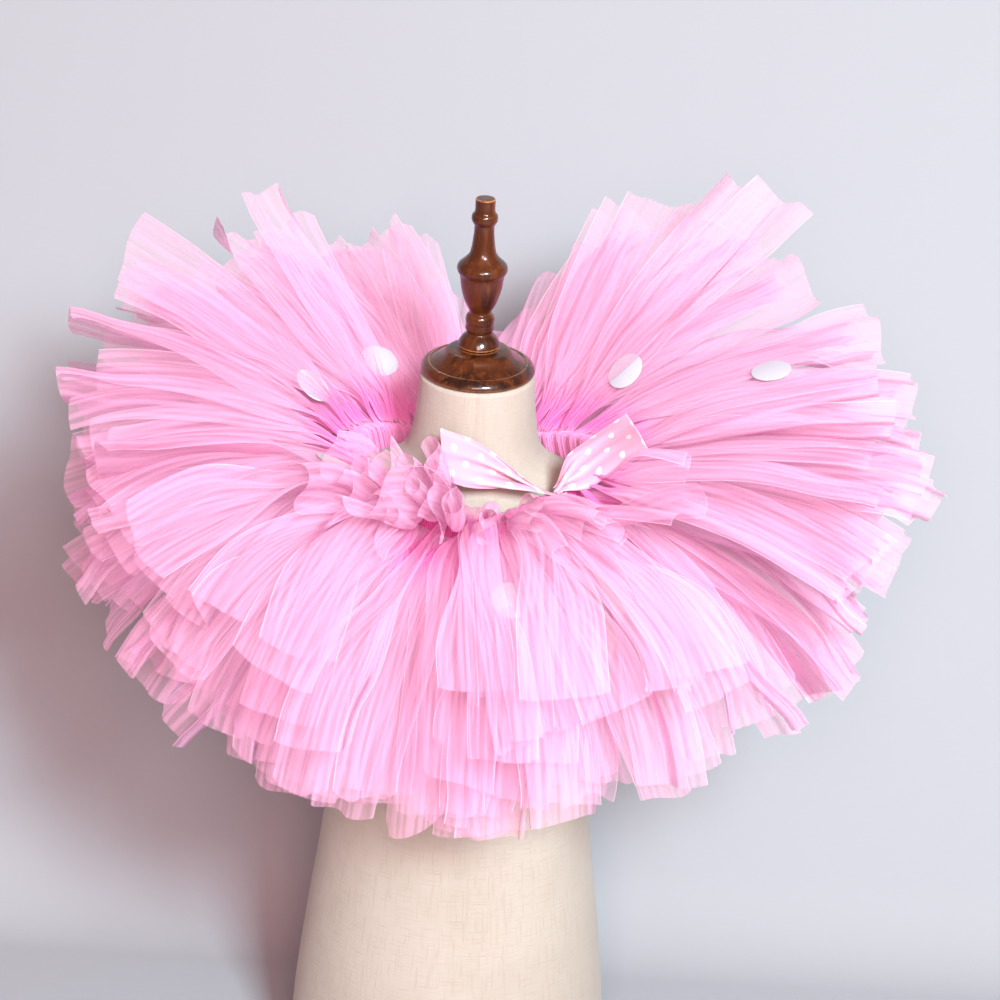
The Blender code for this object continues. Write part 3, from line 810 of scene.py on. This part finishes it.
# %% Smooth curves through a table
def smooth_through(at, known, values):
    """A curve through the known values that never swings past them: cubic pieces, whose slopes at the known
    places are the harmonic means of the slopes on both sides, or 0 at a peak."""
    step = np.diff(known)
    slope = np.diff(values) / step
    before, after = slope[:-1], slope[1:]
    same = before * after > 0
    inner = np.where(same, 2 * before * after / np.where(same, before + after, 1), 0)
    tangent = np.concatenate([slope[:1], inner, slope[-1:]])
    left = np.clip(np.searchsorted(known, at) - 1, 0, len(step) - 1)
    share = (at - known[left]) / step[left]
    square, cube = share**2, share**3
    return (
        (2 * cube - 3 * square + 1) * values[left] + (cube - 2 * square + share) * step[left] * tangent[left]
        + (3 * square - 2 * cube) * values[left + 1] + (cube - square) * step[left] * tangent[left + 1]
    )


# height, half width, half depth and how far the level lies to the back, in mm, and how square its oval is
FORM_LEVELS = np.array([
    (0, 108, 87, 0, 2.0),
    (3, 112, 91, 0, 2.0),
    (14, 114, 93, 0, 2.0),
    (52, 112.5, 92, 0, 2.0),
    (140, 103, 83, 1, 2.0),
    (195, 95.5, 76, 1, 2.0),
    (240, 91.5, 72, 2, 2.0),
    (300, 94, 71, 2, 2.1),
    (360, 103, 70, 2, 2.1),
    (405, 112, 65, 2, 2.0),
    (432, 117, 59, 3, 1.9),
    (448, 115, 54, 3, 1.8),
    (461, 107, 50.5, 3, 1.7),
    (471, 96, 48.5, 3, 1.65),
    (479.6, 80, 46, 2, 1.65),
    (488, 60, 43, 1, 1.75),
    (494, 50, 41, 0, 1.9),
    (501, 44.5, 40.5, 0, 2.0),
    (514, 41, 39.5, 0, 2.0),
    (532, 39, 38.5, 0, 2.0),
    (552, 37.4, 37.4, 0, 2.0),
])
half_width = smooth_through(np.array([240.0, 250.0]), FORM_LEVELS[:, 0], FORM_LEVELS[:, 1])
print("the waist is", round(2 * float(half_width[0]), 1), "mm wide")

# %% Linen torso
FORM_ROWS = 150
FORM_COLUMNS = 161
SEAM_HALF = 2.2 * MM
SEAM_DEPTH = 0.7 * MM


def torso_points():
    """Ovals stacked up the form: x and y are a cosine and sine raised to 2 / squareness, and each seam is a
    narrow bell-shaped groove. The first and last rows close on the axis."""
    height = np.interp(np.linspace(0, 1, FORM_ROWS), np.linspace(0, 1, len(FORM_LEVELS)), FORM_LEVELS[:, 0])
    width, depth, back, square = (
        smooth_through(height, FORM_LEVELS[:, 0], FORM_LEVELS[:, k])[:, None] for k in (1, 2, 3, 4)
    )
    around = np.linspace(0, 2 * np.pi, FORM_COLUMNS)[None, :]
    x, y = (np.sign(f(around)) * np.abs(f(around)) ** (2 / square) for f in (np.cos, np.sin))
    off_seam = np.minimum(np.abs(np.cos(around)), np.abs(np.sin(around))) * width * MM
    groove = SEAM_DEPTH * bell(off_seam, 0, SEAM_HALF)
    grow = 1 - groove / (width * MM)
    points = np.stack([width * x * grow, depth * y * grow + back, height[:, None] + 0 * x], axis=-1) * MM
    ends = [np.broadcast_to(points[row].mean(0) * [0, 0, 1], points[row].shape) for row in (0, -1)]
    points = np.concatenate([ends[:1], points, ends[1:]])
    edge = np.linalg.norm(np.diff(points, axis=1), axis=-1).cumsum(1)
    edge = np.concatenate([np.zeros((len(points), 1)), edge], axis=1)
    girth = float(edge[len(edge) // 2, -1])
    cloth = np.stack([around / (2 * np.pi) * girth + 0 * edge, points[..., 2]], axis=-1)
    return points, cloth


points, cloth = torso_points()
torso = new_mesh("linen_torso", points, grid_faces(*points.shape[:2]), cloth)
print("torso", torso.dimensions[:])


# %% Closing seams and poles
def weld(piece, within=0.02 * MM):
    """Joins the points that meet at a seam or a pole, and drops the faces that have no area left."""
    mesh = bmesh.new()
    mesh.from_mesh(piece.data)
    bmesh.ops.remove_doubles(mesh, verts=mesh.verts, dist=within)
    bmesh.ops.recalc_face_normals(mesh, faces=mesh.faces)
    mesh.to_mesh(piece.data)
    mesh.free()
    return piece


weld(torso)
print("torso after welding:", len(torso.data.vertices), "points")

# %% [markdown]
# Linen is a plain weave of uneven threads. Where a thread is thick it shows as a slub, a longer streak that
# stands out a little and is a little darker. One group makes both, from the cloth's own coordinates in
# metres, with the thickness of the thread and the length of the slubs as its inputs.

# %% Weave group
weave_group, weave_in, weave_out = new_group(
    "plain weave",
    [("Cloth", "Vector", None), ("Thread", "Float", 1.0 * MM), ("Slub Length", "Float", 14.0)],
    [("Height", "Float"), ("Slub", "Float")],
)
sums = partial(sum_of, weave_group)
coordinates = split(weave_group, weave_in["Cloth"])[:2]
turns = sums("DIVIDE", math.pi, weave_in["Thread"])
tops = [sums("ABSOLUTE", sums("SINE", sums("MULTIPLY", coordinate, turns))) for coordinate in coordinates]
streaks = []
for first, second in ((0, 1), (1, 0)):
    along, over = (sums("DIVIDE", coordinates[k], weave_in["Thread"]) for k in (first, second))
    along = sums("DIVIDE", along, weave_in["Slub Length"])
    where = add_node(weave_group, "CombineXYZ", None, X=along, Y=over, Z=5.0 * first)
    streaks.append(noise(weave_group, where.outputs[0], 0.9, 2.0))
slub = ramp(weave_group, sums("MAXIMUM", *streaks), 0.5, 0.75)
height = sums("ADD", sums("MULTIPLY", sums("MAXIMUM", *tops), 0.5), slub)
weave_group.links.new(height, weave_out["Height"])
weave_group.links.new(slub, weave_out["Slub"])
print("weave group:", len(weave_group.nodes), "nodes")

# %% Linen material
def woven(tree, shader, thread, slub_length, depth):
    """Bumps the shader's normal by the weave, and gives back the slub mask."""
    weave = add_node(tree, "Group", {"node_tree": weave_group}, Cloth=cloth_place(tree), Thread=thread,
                     Slub_Length=slub_length).outputs
    bump_by(tree, shader, weave["Height"], depth, 1.0)
    return weave["Slub"]


def linen_material():
    """Cream linen with slubs and a faint unevenness of its dye."""
    finish, tree, shader = new_material("cream_linen", Roughness=0.85, Sheen_Weight=0.15)
    slub = woven(tree, shader, 0.9 * MM, 16.0, 0.1 * MM)
    uneven = ramp(tree, noise(tree, object_place(tree), 14.0, 3.0), 0.3, 0.7)
    colour = mix_colour(tree, uneven, (0.47, 0.435, 0.37, 1), (0.51, 0.475, 0.41, 1))
    colour = mix_colour(tree, sum_of(tree, "MULTIPLY", slub, 0.35), colour, (0.38, 0.315, 0.235, 1))
    join(tree, shader, Base_Color=colour)
    return finish


finish_piece(torso, linen_material(), "linen", "dress_form")

# %% [markdown]
# ## Neck cap and finial
# Both are turned from a dark hardwood and varnished. A turned shape is one outline carried round an axis,
# so the outline is all that has to be drawn. Cutting each of its corners twice gives the small rounds that
# sandpaper leaves. Where the outline turns outwards sharply, handling has rubbed the stain through to
# orange wood, and that is worked out from the outline too, and kept as a value on the mesh.

# %% Turned wood
NECK_TOP = 552 * MM
CAP_PROFILE_MM = (
    (0, 18.5), (13.2, 18.5), (13.6, 17.2), (20.6, 16.4), (23.4, 12.4), (29.6, 8.8), (31.4, 7.6),
    (32.2, 8.2), (35.6, 6.6), (37.7, 3.4), (36.6, 0.3), (0, 0.3),
)
FINIAL_FOOT = 18.8 * MM
FINIAL_PROFILE_MM = (
    (0, 101.4), (6.0, 101.4), (6.5, 100.4), (6.4, 92.2), (8.2, 90.6), (8.7, 87.6), (7.6, 84.9),
    (6.3, 83.6), (6.7, 76.0), (8.2, 64.5), (11.6, 60.2), (15.9, 56.6), (16.6, 53.4), (15.4, 50.8),
    (14.4, 49.6), (13.3, 40.0), (10.4, 30.4), (6.5, 23.4), (8.8, 22.0), (9.7, 18.4), (8.9, 15.4),
    (9.5, 13.2), (8.9, 10.9), (7.8, 9.8), (11.6, 6.4), (13.9, 1.8), (13.6, 0), (0, 0),
)
TURNED_COLUMNS = 97
CORNER_CUTS = (0.22, 0.25)  # shares of an edge
RUBBED_FROM = 0.25  # the least sharpness that is rubbed
RUBBED_SLOPE = 0.9


def cut_corners(outline, share):
    """Each corner becomes two points, that share of the way along the edges beside it. The ends stay."""
    step = np.diff(outline, axis=0)
    pairs = np.stack([outline[:-1] + share * step, outline[1:] - share * step], axis=1).reshape(-1, 2)
    return np.concatenate([outline[:1], pairs[1:-1], outline[-1:]])


def turned(name, profile, foot):
    """A profile of (radius, height), carried round the upright axis: x and y are the radius times a cosine
    and a sine. rubbed is how sharply the outline turns outwards at a point."""
    outline = np.array(profile, float)
    for share in CORNER_CUTS:
        outline = cut_corners(outline, share)
    heading = np.unwrap(np.arctan2(*np.gradient(outline, axis=0).T[::-1]))
    length = np.linalg.norm(np.gradient(outline, axis=0), axis=1)
    sharpness = -np.gradient(heading) / np.maximum(length, 0.2)
    rubbed = np.clip(sharpness * RUBBED_SLOPE - RUBBED_FROM, 0, 1)
    around = np.linspace(0, 2 * np.pi, TURNED_COLUMNS)[None, :]
    radius, height = outline[:, :1] * MM, outline[:, 1:] * MM
    points = np.stack([radius * np.cos(around), radius * np.sin(around), foot + height + 0 * around], axis=-1)
    values = {"rubbed": rubbed[:, None] + 0 * around}
    print(name, len(outline), "rings, rubbed up to", round(float(rubbed.max()), 2))
    return weld(new_mesh(name, points, grid_faces(*points.shape[:2]), values=values))


neck_cap = turned("wooden_cap", CAP_PROFILE_MM, NECK_TOP)
finial = turned("wooden_finial", FINIAL_PROFILE_MM, NECK_TOP + FINIAL_FOOT)

# %% Varnished wood material
def wood_material():
    """Dark stained wood under clear varnish: long grain up the axis, darker pores, rubbed orange edges."""
    finish, tree, shader = new_material(
        "varnished_wood", Roughness=0.32, Coat_Weight=0.6, Coat_Roughness=0.07, Specular_IOR_Level=0.2
    )
    stretched = add_node(tree, "Mapping", None, Vector=object_place(tree), Scale=(1.0, 1.0, 0.12)).outputs[0]
    grain = noise(tree, stretched, 260.0, 5.0, Roughness=0.65)
    broad = noise(tree, stretched, 45.0, 2.0, Distortion=1.2)
    colour = mix_colour(tree, ramp(tree, broad, 0.35, 0.7), (0.020, 0.006, 0.003, 1), (0.10, 0.024, 0.005, 1))
    colour = mix_colour(tree, ramp(tree, grain, 0.5, 0.75, 0, 0.7), colour, (0.17, 0.048, 0.010, 1))
    worn = sum_of(tree, "MULTIPLY", point_value(tree, "rubbed"), ramp(tree, grain, 0.3, 0.55, 0.35, 1.0))
    colour = mix_colour(tree, worn, colour, (0.62, 0.25, 0.08, 1))
    join(tree, shader, Base_Color=colour, Roughness=ramp(tree, grain, 0.3, 0.7, 0.26, 0.42))
    bump_by(tree, shader, grain, 0.05 * MM, 0.4)
    return finish


wood = wood_material()
finish_piece(neck_cap, wood, "dark_wood", "neck_cap")
finish_piece(finial, wood, "dark_wood", "finial")

# %% [markdown]
# ## Felt dots
# Round felt dots are glued on the tulle here and there. Each is a thin disc with a soft rim, worked out
# round its own axis, then laid on the tail that carries it: its directions and its middle are read off the
# tail's own arc, a little before and a little beyond the dot.

# %% Felt dots
DOT_LIFT = 1.0 * MM  # of its middle above the net
DOT_STEP = 16 * MM
DOT_PROFILE_MM = ((0, 0.35), (12.9, 0.35), (13.5, 0.1), (13.5, -0.1), (12.9, -0.35), (0, -0.35))
DOT_COLUMNS = 49


def flat_tail_point(place, storey, sideways, distance):
    """The point of a flat tail's arc that lies that far to its left."""
    degrees = np.array([place_degrees(place)])
    length = tail_values(degrees)[:, 4] * MM
    arc = tail_arc(*tail_slopes(degrees, storey), length, np.array([[distance]]) / length)[0, 0]
    outwards, up = arc + LOOP_MM[0 if storey < 2 else -1] * MM
    direction = math.radians(degrees[0])
    return near_band(direction, outwards, up) + sideways * leftwards(direction)


def dot_points(place, storey, distance, sideways, face):
    """A dot's rings, on its tail: outwards runs along the tail, left across it and upwards off it."""
    before, after = (
        flat_tail_point(place, storey, sideways * MM, distance * MM + step) for step in (-DOT_STEP, DOT_STEP)
    )
    outwards = (after - before) / np.linalg.norm(after - before)
    left = leftwards(math.radians(place_degrees(place)))
    upwards = np.cross(outwards, left)
    outline = np.array(DOT_PROFILE_MM) * MM
    around = np.linspace(0, 2 * np.pi, DOT_COLUMNS)[None, :, None]
    u, v = (outline[:, None, :1] * f(around) for f in (np.cos, np.sin))
    lift = face * (outline[:, None, 1:] + DOT_LIFT)
    points = (before + after) / 2 + u * outwards + v * left + lift * upwards
    return points, np.concatenate([u, v], axis=-1)


def felt_material():
    """White felt: matted fibres of no direction."""
    finish, tree, shader = new_material(
        "white_felt", Base_Color=(0.93, 0.92, 0.97, 1), Roughness=0.95, Sheen_Weight=0.3
    )
    fibres = noise(tree, cloth_place(tree), 900.0, 4.0, Distortion=2.0)
    colour = mix_colour(tree, ramp(tree, fibres, 0.3, 0.7), (0.54, 0.57, 0.66, 1), (0.62, 0.65, 0.74, 1))
    join(tree, shader, Base_Color=colour)
    bump_by(tree, shader, fibres, 0.15 * MM, 0.6)
    return finish


felt = felt_material()
for number, row in enumerate(DOT_PLACES, 1):
    points, cloth = dot_points(*row)
    dot = weld(new_mesh(f"felt_{number:02d}", points, grid_faces(*points.shape[:2]), cloth))
    finish_piece(dot, felt, "felt", f"felt_dot_{number:02d}")
print("dots:", len(DOT_PLACES))

# %% [markdown]
# ## Elastic
# The waistband's elastic shows only between the knots. Its rigid solid already has the right form, so it
# stays and gets a finish: a ribbed pink weave, whose ribs are a sine of the angle round the band.

# %% Elastic material
ELASTIC_RIBS = 330.0  # for each radian round the band


def elastic_material():
    """Deep pink elastic with upright ribs, and painted shade in the grooves between them."""
    finish, tree, shader = new_material("pink_elastic", Roughness=0.6)
    place = object_place(tree)
    x, y, _ = split(tree, place)
    angle = sum_of(tree, "ARCTAN2", y, x)
    ribs = sum_of(tree, "SINE", sum_of(tree, "MULTIPLY", angle, ELASTIC_RIBS))
    fuzz = noise(tree, place, 700.0, 3.0)
    # painted shade: the pink darkens in the grooves between the ribs
    colour = mix_colour(tree, ramp(tree, ribs, -0.8, 0.4), (0.72, 0.03, 0.30, 1), (0.92, 0.16, 0.50, 1))
    colour = mix_colour(tree, ramp(tree, fuzz, 0.45, 0.75, 0, 0.4), colour, (0.97, 0.45, 0.72, 1))
    join(tree, shader, Base_Color=colour)
    bump_by(tree, shader, ribs, 0.15 * MM, 0.7)
    return finish


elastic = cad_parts["waistband_elastic"]
elastic_finish = elastic_material()
for k in range(len(elastic.material_slots)):
    elastic.material_slots[k].material = elastic_finish
print("elastic slots:", len(elastic.material_slots))

# %% [markdown]
# ## Satin ribbon
# A ribbon 38 mm wide, pink with white spots, is wrapped round the band where one bunch is left out, and
# tied in a bow: two wings stand up beside the neck and a short tail lies on the skirt. Where it is tied the
# ribbon gathers. Its cross-section is the same swinging curve as that of the tulle's knot, and it is drawn
# in until its width is that of the foot, while its height is left to stand up as small pleats, which fade
# towards the cut end.

# %% Ribbon paths
RIBBON_WIDTH = 38 * MM
RIBBON_WALL = 0.4 * MM
WRAP_HALF_WIDTH = 6.5 * MM
WRAP_LOOP_MM = ((3.4, 9.4), (-2.6, 9.4), (-2.6, -7.8), (0, -8.6), (3.0, -8.0), (5.4, 0))  # outwards, up
RIBBON_ROWS = 61
RIBBON_COLUMNS = 41
WRAP_PLEATS, WRAP_PHASE = 5, 0.1
ribbon_direction = math.radians(place_degrees(RIBBON_PLACE))
ribbon_tangent = leftwards(ribbon_direction)


def wrap_point(along, outwards, up):
    """The point that lies that far along the band, outwards and up from the middle of the wrap, in mm."""
    return near_band(ribbon_direction, outwards * MM, up * MM) + along * MM * ribbon_tangent


def swing_for(share):
    """The swing that gathers cloth to that share of its width, looked up in a table: over a whole fold the
    share is the mean cosine of the cloth's direction."""
    swings = np.linspace(0, 2.3, 70)
    shares = np.cos(swings[:, None] * np.sin(np.linspace(0, 2 * np.pi, 240))).mean(1)
    return np.interp(share, shares[::-1], swings[::-1])


def gathered_section(across, width, folds, phase):
    """A ribbon's cross-section, gathered until it is that wide."""
    sideways, height = fold_section(RIBBON_WIDTH, across, swing_for(width / RIBBON_WIDTH), phase, folds, 0)
    span = np.ptp(sideways, axis=-1, keepdims=True)
    return sideways * width / span, height


def ribbon_end(foot_a, foot_b, cut_a, cut_b, cup, bow, full, lip, folds, phase):
    """A loose end of ribbon from its gathered foot to its cut end, as points and cloth coordinates.

    The middle line is straight, bowed out as a half sine. The section cups as a parabola of the distance
    across, and lip bends the edge at corner a out beyond it."""
    foot_a, foot_b = (wrap_point(*corner) for corner in (foot_a, foot_b))
    cut_a, cut_b = (np.array(corner) * MM for corner in (cut_a, cut_b))
    foot = (foot_a + foot_b) / 2
    run = (cut_a + cut_b) / 2 - foot
    out = np.cross(run, cut_a - cut_b)
    out = out / np.linalg.norm(out)
    v = np.linspace(0, 1, RIBBON_ROWS)[:, None]
    across = np.linspace(0, 1, RIBBON_COLUMNS)[None, :]
    opened = ease(v, 0, full)
    edge = (foot_a - foot_b) + opened[..., None] * ((cut_a - cut_b) - (foot_a - foot_b))
    width = np.linalg.norm(edge, axis=-1)
    sideways, height = gathered_section(1 - across, width, folds, phase)
    side = 2 * sideways / width
    height = height * (1 - 0.7 * ease(v, 0.3, 1))
    cupped = (cup * (side**2 - 0.5) + bow) * np.sin(np.pi * v) * MM
    lift = cupped + lip * MM * ease(side, 0.1, 1) * ease(v, 0.1, 0.6)
    points = foot + run * v[..., None] + edge / 2 * side[..., None] + out * (lift + height)[..., None]
    cloth = np.stack([RIBBON_WIDTH * across + 0 * v, np.linalg.norm(run) * v + 0 * across], axis=-1)
    return points, cloth


def wrap_sheet():
    """The wrap: the ribbon's gathered section carried round the elastic on a rounded loop. Its ends meet."""
    loop = np.array(WRAP_LOOP_MM + WRAP_LOOP_MM[:1], float)
    for _ in range(3):
        loop = cut_corners(loop, 0.25)
    across = np.linspace(0, 1, RIBBON_COLUMNS)[None, :]
    foot_width = np.full((1, 1), 2 * WRAP_HALF_WIDTH)
    sideways, height = gathered_section(across, foot_width, WRAP_PLEATS, WRAP_PHASE)
    along = np.gradient(loop, axis=0)
    along = along / np.linalg.norm(along, axis=1, keepdims=True)
    off_loop = height / MM * 0.6 + 0.6
    outwards = loop[:, :1] + along[:, 1:] * off_loop
    up = loop[:, 1:] - along[:, :1] * off_loop
    turn = ribbon_direction + sideways / band_radius(ribbon_direction)
    points = near_band(turn + 0 * outwards, outwards * MM, up * MM)
    reach = np.concatenate([[0], np.linalg.norm(np.diff(loop, axis=0), axis=1).cumsum()])[:, None] * MM
    cloth = np.stack([RIBBON_WIDTH * across + 0 * reach, reach + 0 * across], axis=-1)
    return points, cloth


points, cloth = wrap_sheet()
print("wrap:", points.shape[:2], "round the band", round(float(cloth[-1, 0, 1]) / MM, 1), "mm")

# %% Satin material
spots_group, spots_in, spots_out = new_group(
    "spots",
    [("Cloth", "Vector", None), ("Pitch", "Float", 20.0 * MM), ("Radius", "Float", 2.35 * MM)],
    [("Spot", "Float")],
)


def vector_step(operation, first, output=0, **second):
    """One step of arithmetic on a place, in the group of spots."""
    return add_node(spots_group, "VectorMath", {"operation": operation}, i0=first, **second).outputs[output]


sums = partial(sum_of, spots_group)
scaled = vector_step("SCALE", spots_in["Cloth"], Scale=sums("DIVIDE", 1.0, spots_in["Pitch"]))
spots = []
for shift in (0.0, 0.5):  # a second square grid of spots, half a step over both ways
    cell = vector_step("FRACTION", vector_step("ADD", scaled, i1=(shift, shift, 0.0)))
    middle = vector_step("DISTANCE", cell, 1, i1=(0.5, 0.5, 0.0))
    reach = sums("MULTIPLY", middle, spots_in["Pitch"])
    spots.append(sums("LESS_THAN", reach, spots_in["Radius"]))
spots_group.links.new(sums("MAXIMUM", *spots), spots_out["Spot"])


def satin_material():
    """Pink satin with white spots: long floating threads that shine, most strongly across the ribbon."""
    finish, tree, shader = new_material(
        "spotted_satin", Roughness=0.34, Sheen_Weight=0.25, Sheen_Tint=(1.0, 0.85, 0.92, 1),
        Specular_IOR_Level=0.45,
    )
    cloth = cloth_place(tree)
    spot = add_node(tree, "Group", {"node_tree": spots_group}, Cloth=cloth).outputs["Spot"]
    colour = mix_colour(tree, spot, (0.80, 0.42, 0.57, 1), (0.80, 0.74, 0.79, 1))
    stretched = add_node(tree, "Mapping", None, Vector=cloth, Scale=(1.0, 0.06, 1.0)).outputs[0]
    threads = noise(tree, stretched, 2600.0, 2.0)
    join(tree, shader, Base_Color=colour, Roughness=ramp(tree, threads, 0.3, 0.7, 0.31, 0.42))
    bump_by(tree, shader, threads, 0.05 * MM, 0.35)
    return finish


# %% Tie the bow
# name, node, the foot's two corners (along the band, outwards, up, in mm), the cut end's two corners (X, Y, Z
# in mm), cup, bow, the share of the length where it is full width, lip, number and place of its pleats
RIBBON_ENDS = (
    ("satin_wing_right", "ribbon_wing_right", (2, -2.4, 11.6), (2, 3.6, 11.6),
     (97, -50, 551), (112, -54, 528), 8, -9, 0.3, 3, 2, 0.2),
    ("satin_wing_left", "ribbon_wing_left", (-2, -2.4, 10.5), (-2, 3.6, 10.5),
     (-19, -60, 535), (-22, -66, 505), -6, 4, 0.8, 9, 2, 0.6),
    ("satin_tail", "ribbon_tail", (4, 7.5, 2), (-4, 7.5, 2),
     (69, -57, 462), (61, -64, 461), 1, 2, 0.9, 0, 3, 0.0),
)
satin = satin_material()


def tie(name, node, points, cloth, held):
    """A ribbon piece: its sheet gets a wall, half on each side, and a finish."""
    piece = new_mesh(name, points, grid_faces(*points.shape[:2]), cloth)
    wall = piece.modifiers.new("wall", "SOLIDIFY")
    wall.thickness = RIBBON_WALL
    wall.offset = 0
    finish_piece(piece, satin, "satin", node)


tie("satin_wrap", "ribbon_wrap", *wrap_sheet(), "gathered")
for name, node, *sizes in RIBBON_ENDS:
    tie(name, node, *ribbon_end(*sizes), "folded")
print("ribbon pieces:", 1 + len(RIBBON_ENDS))
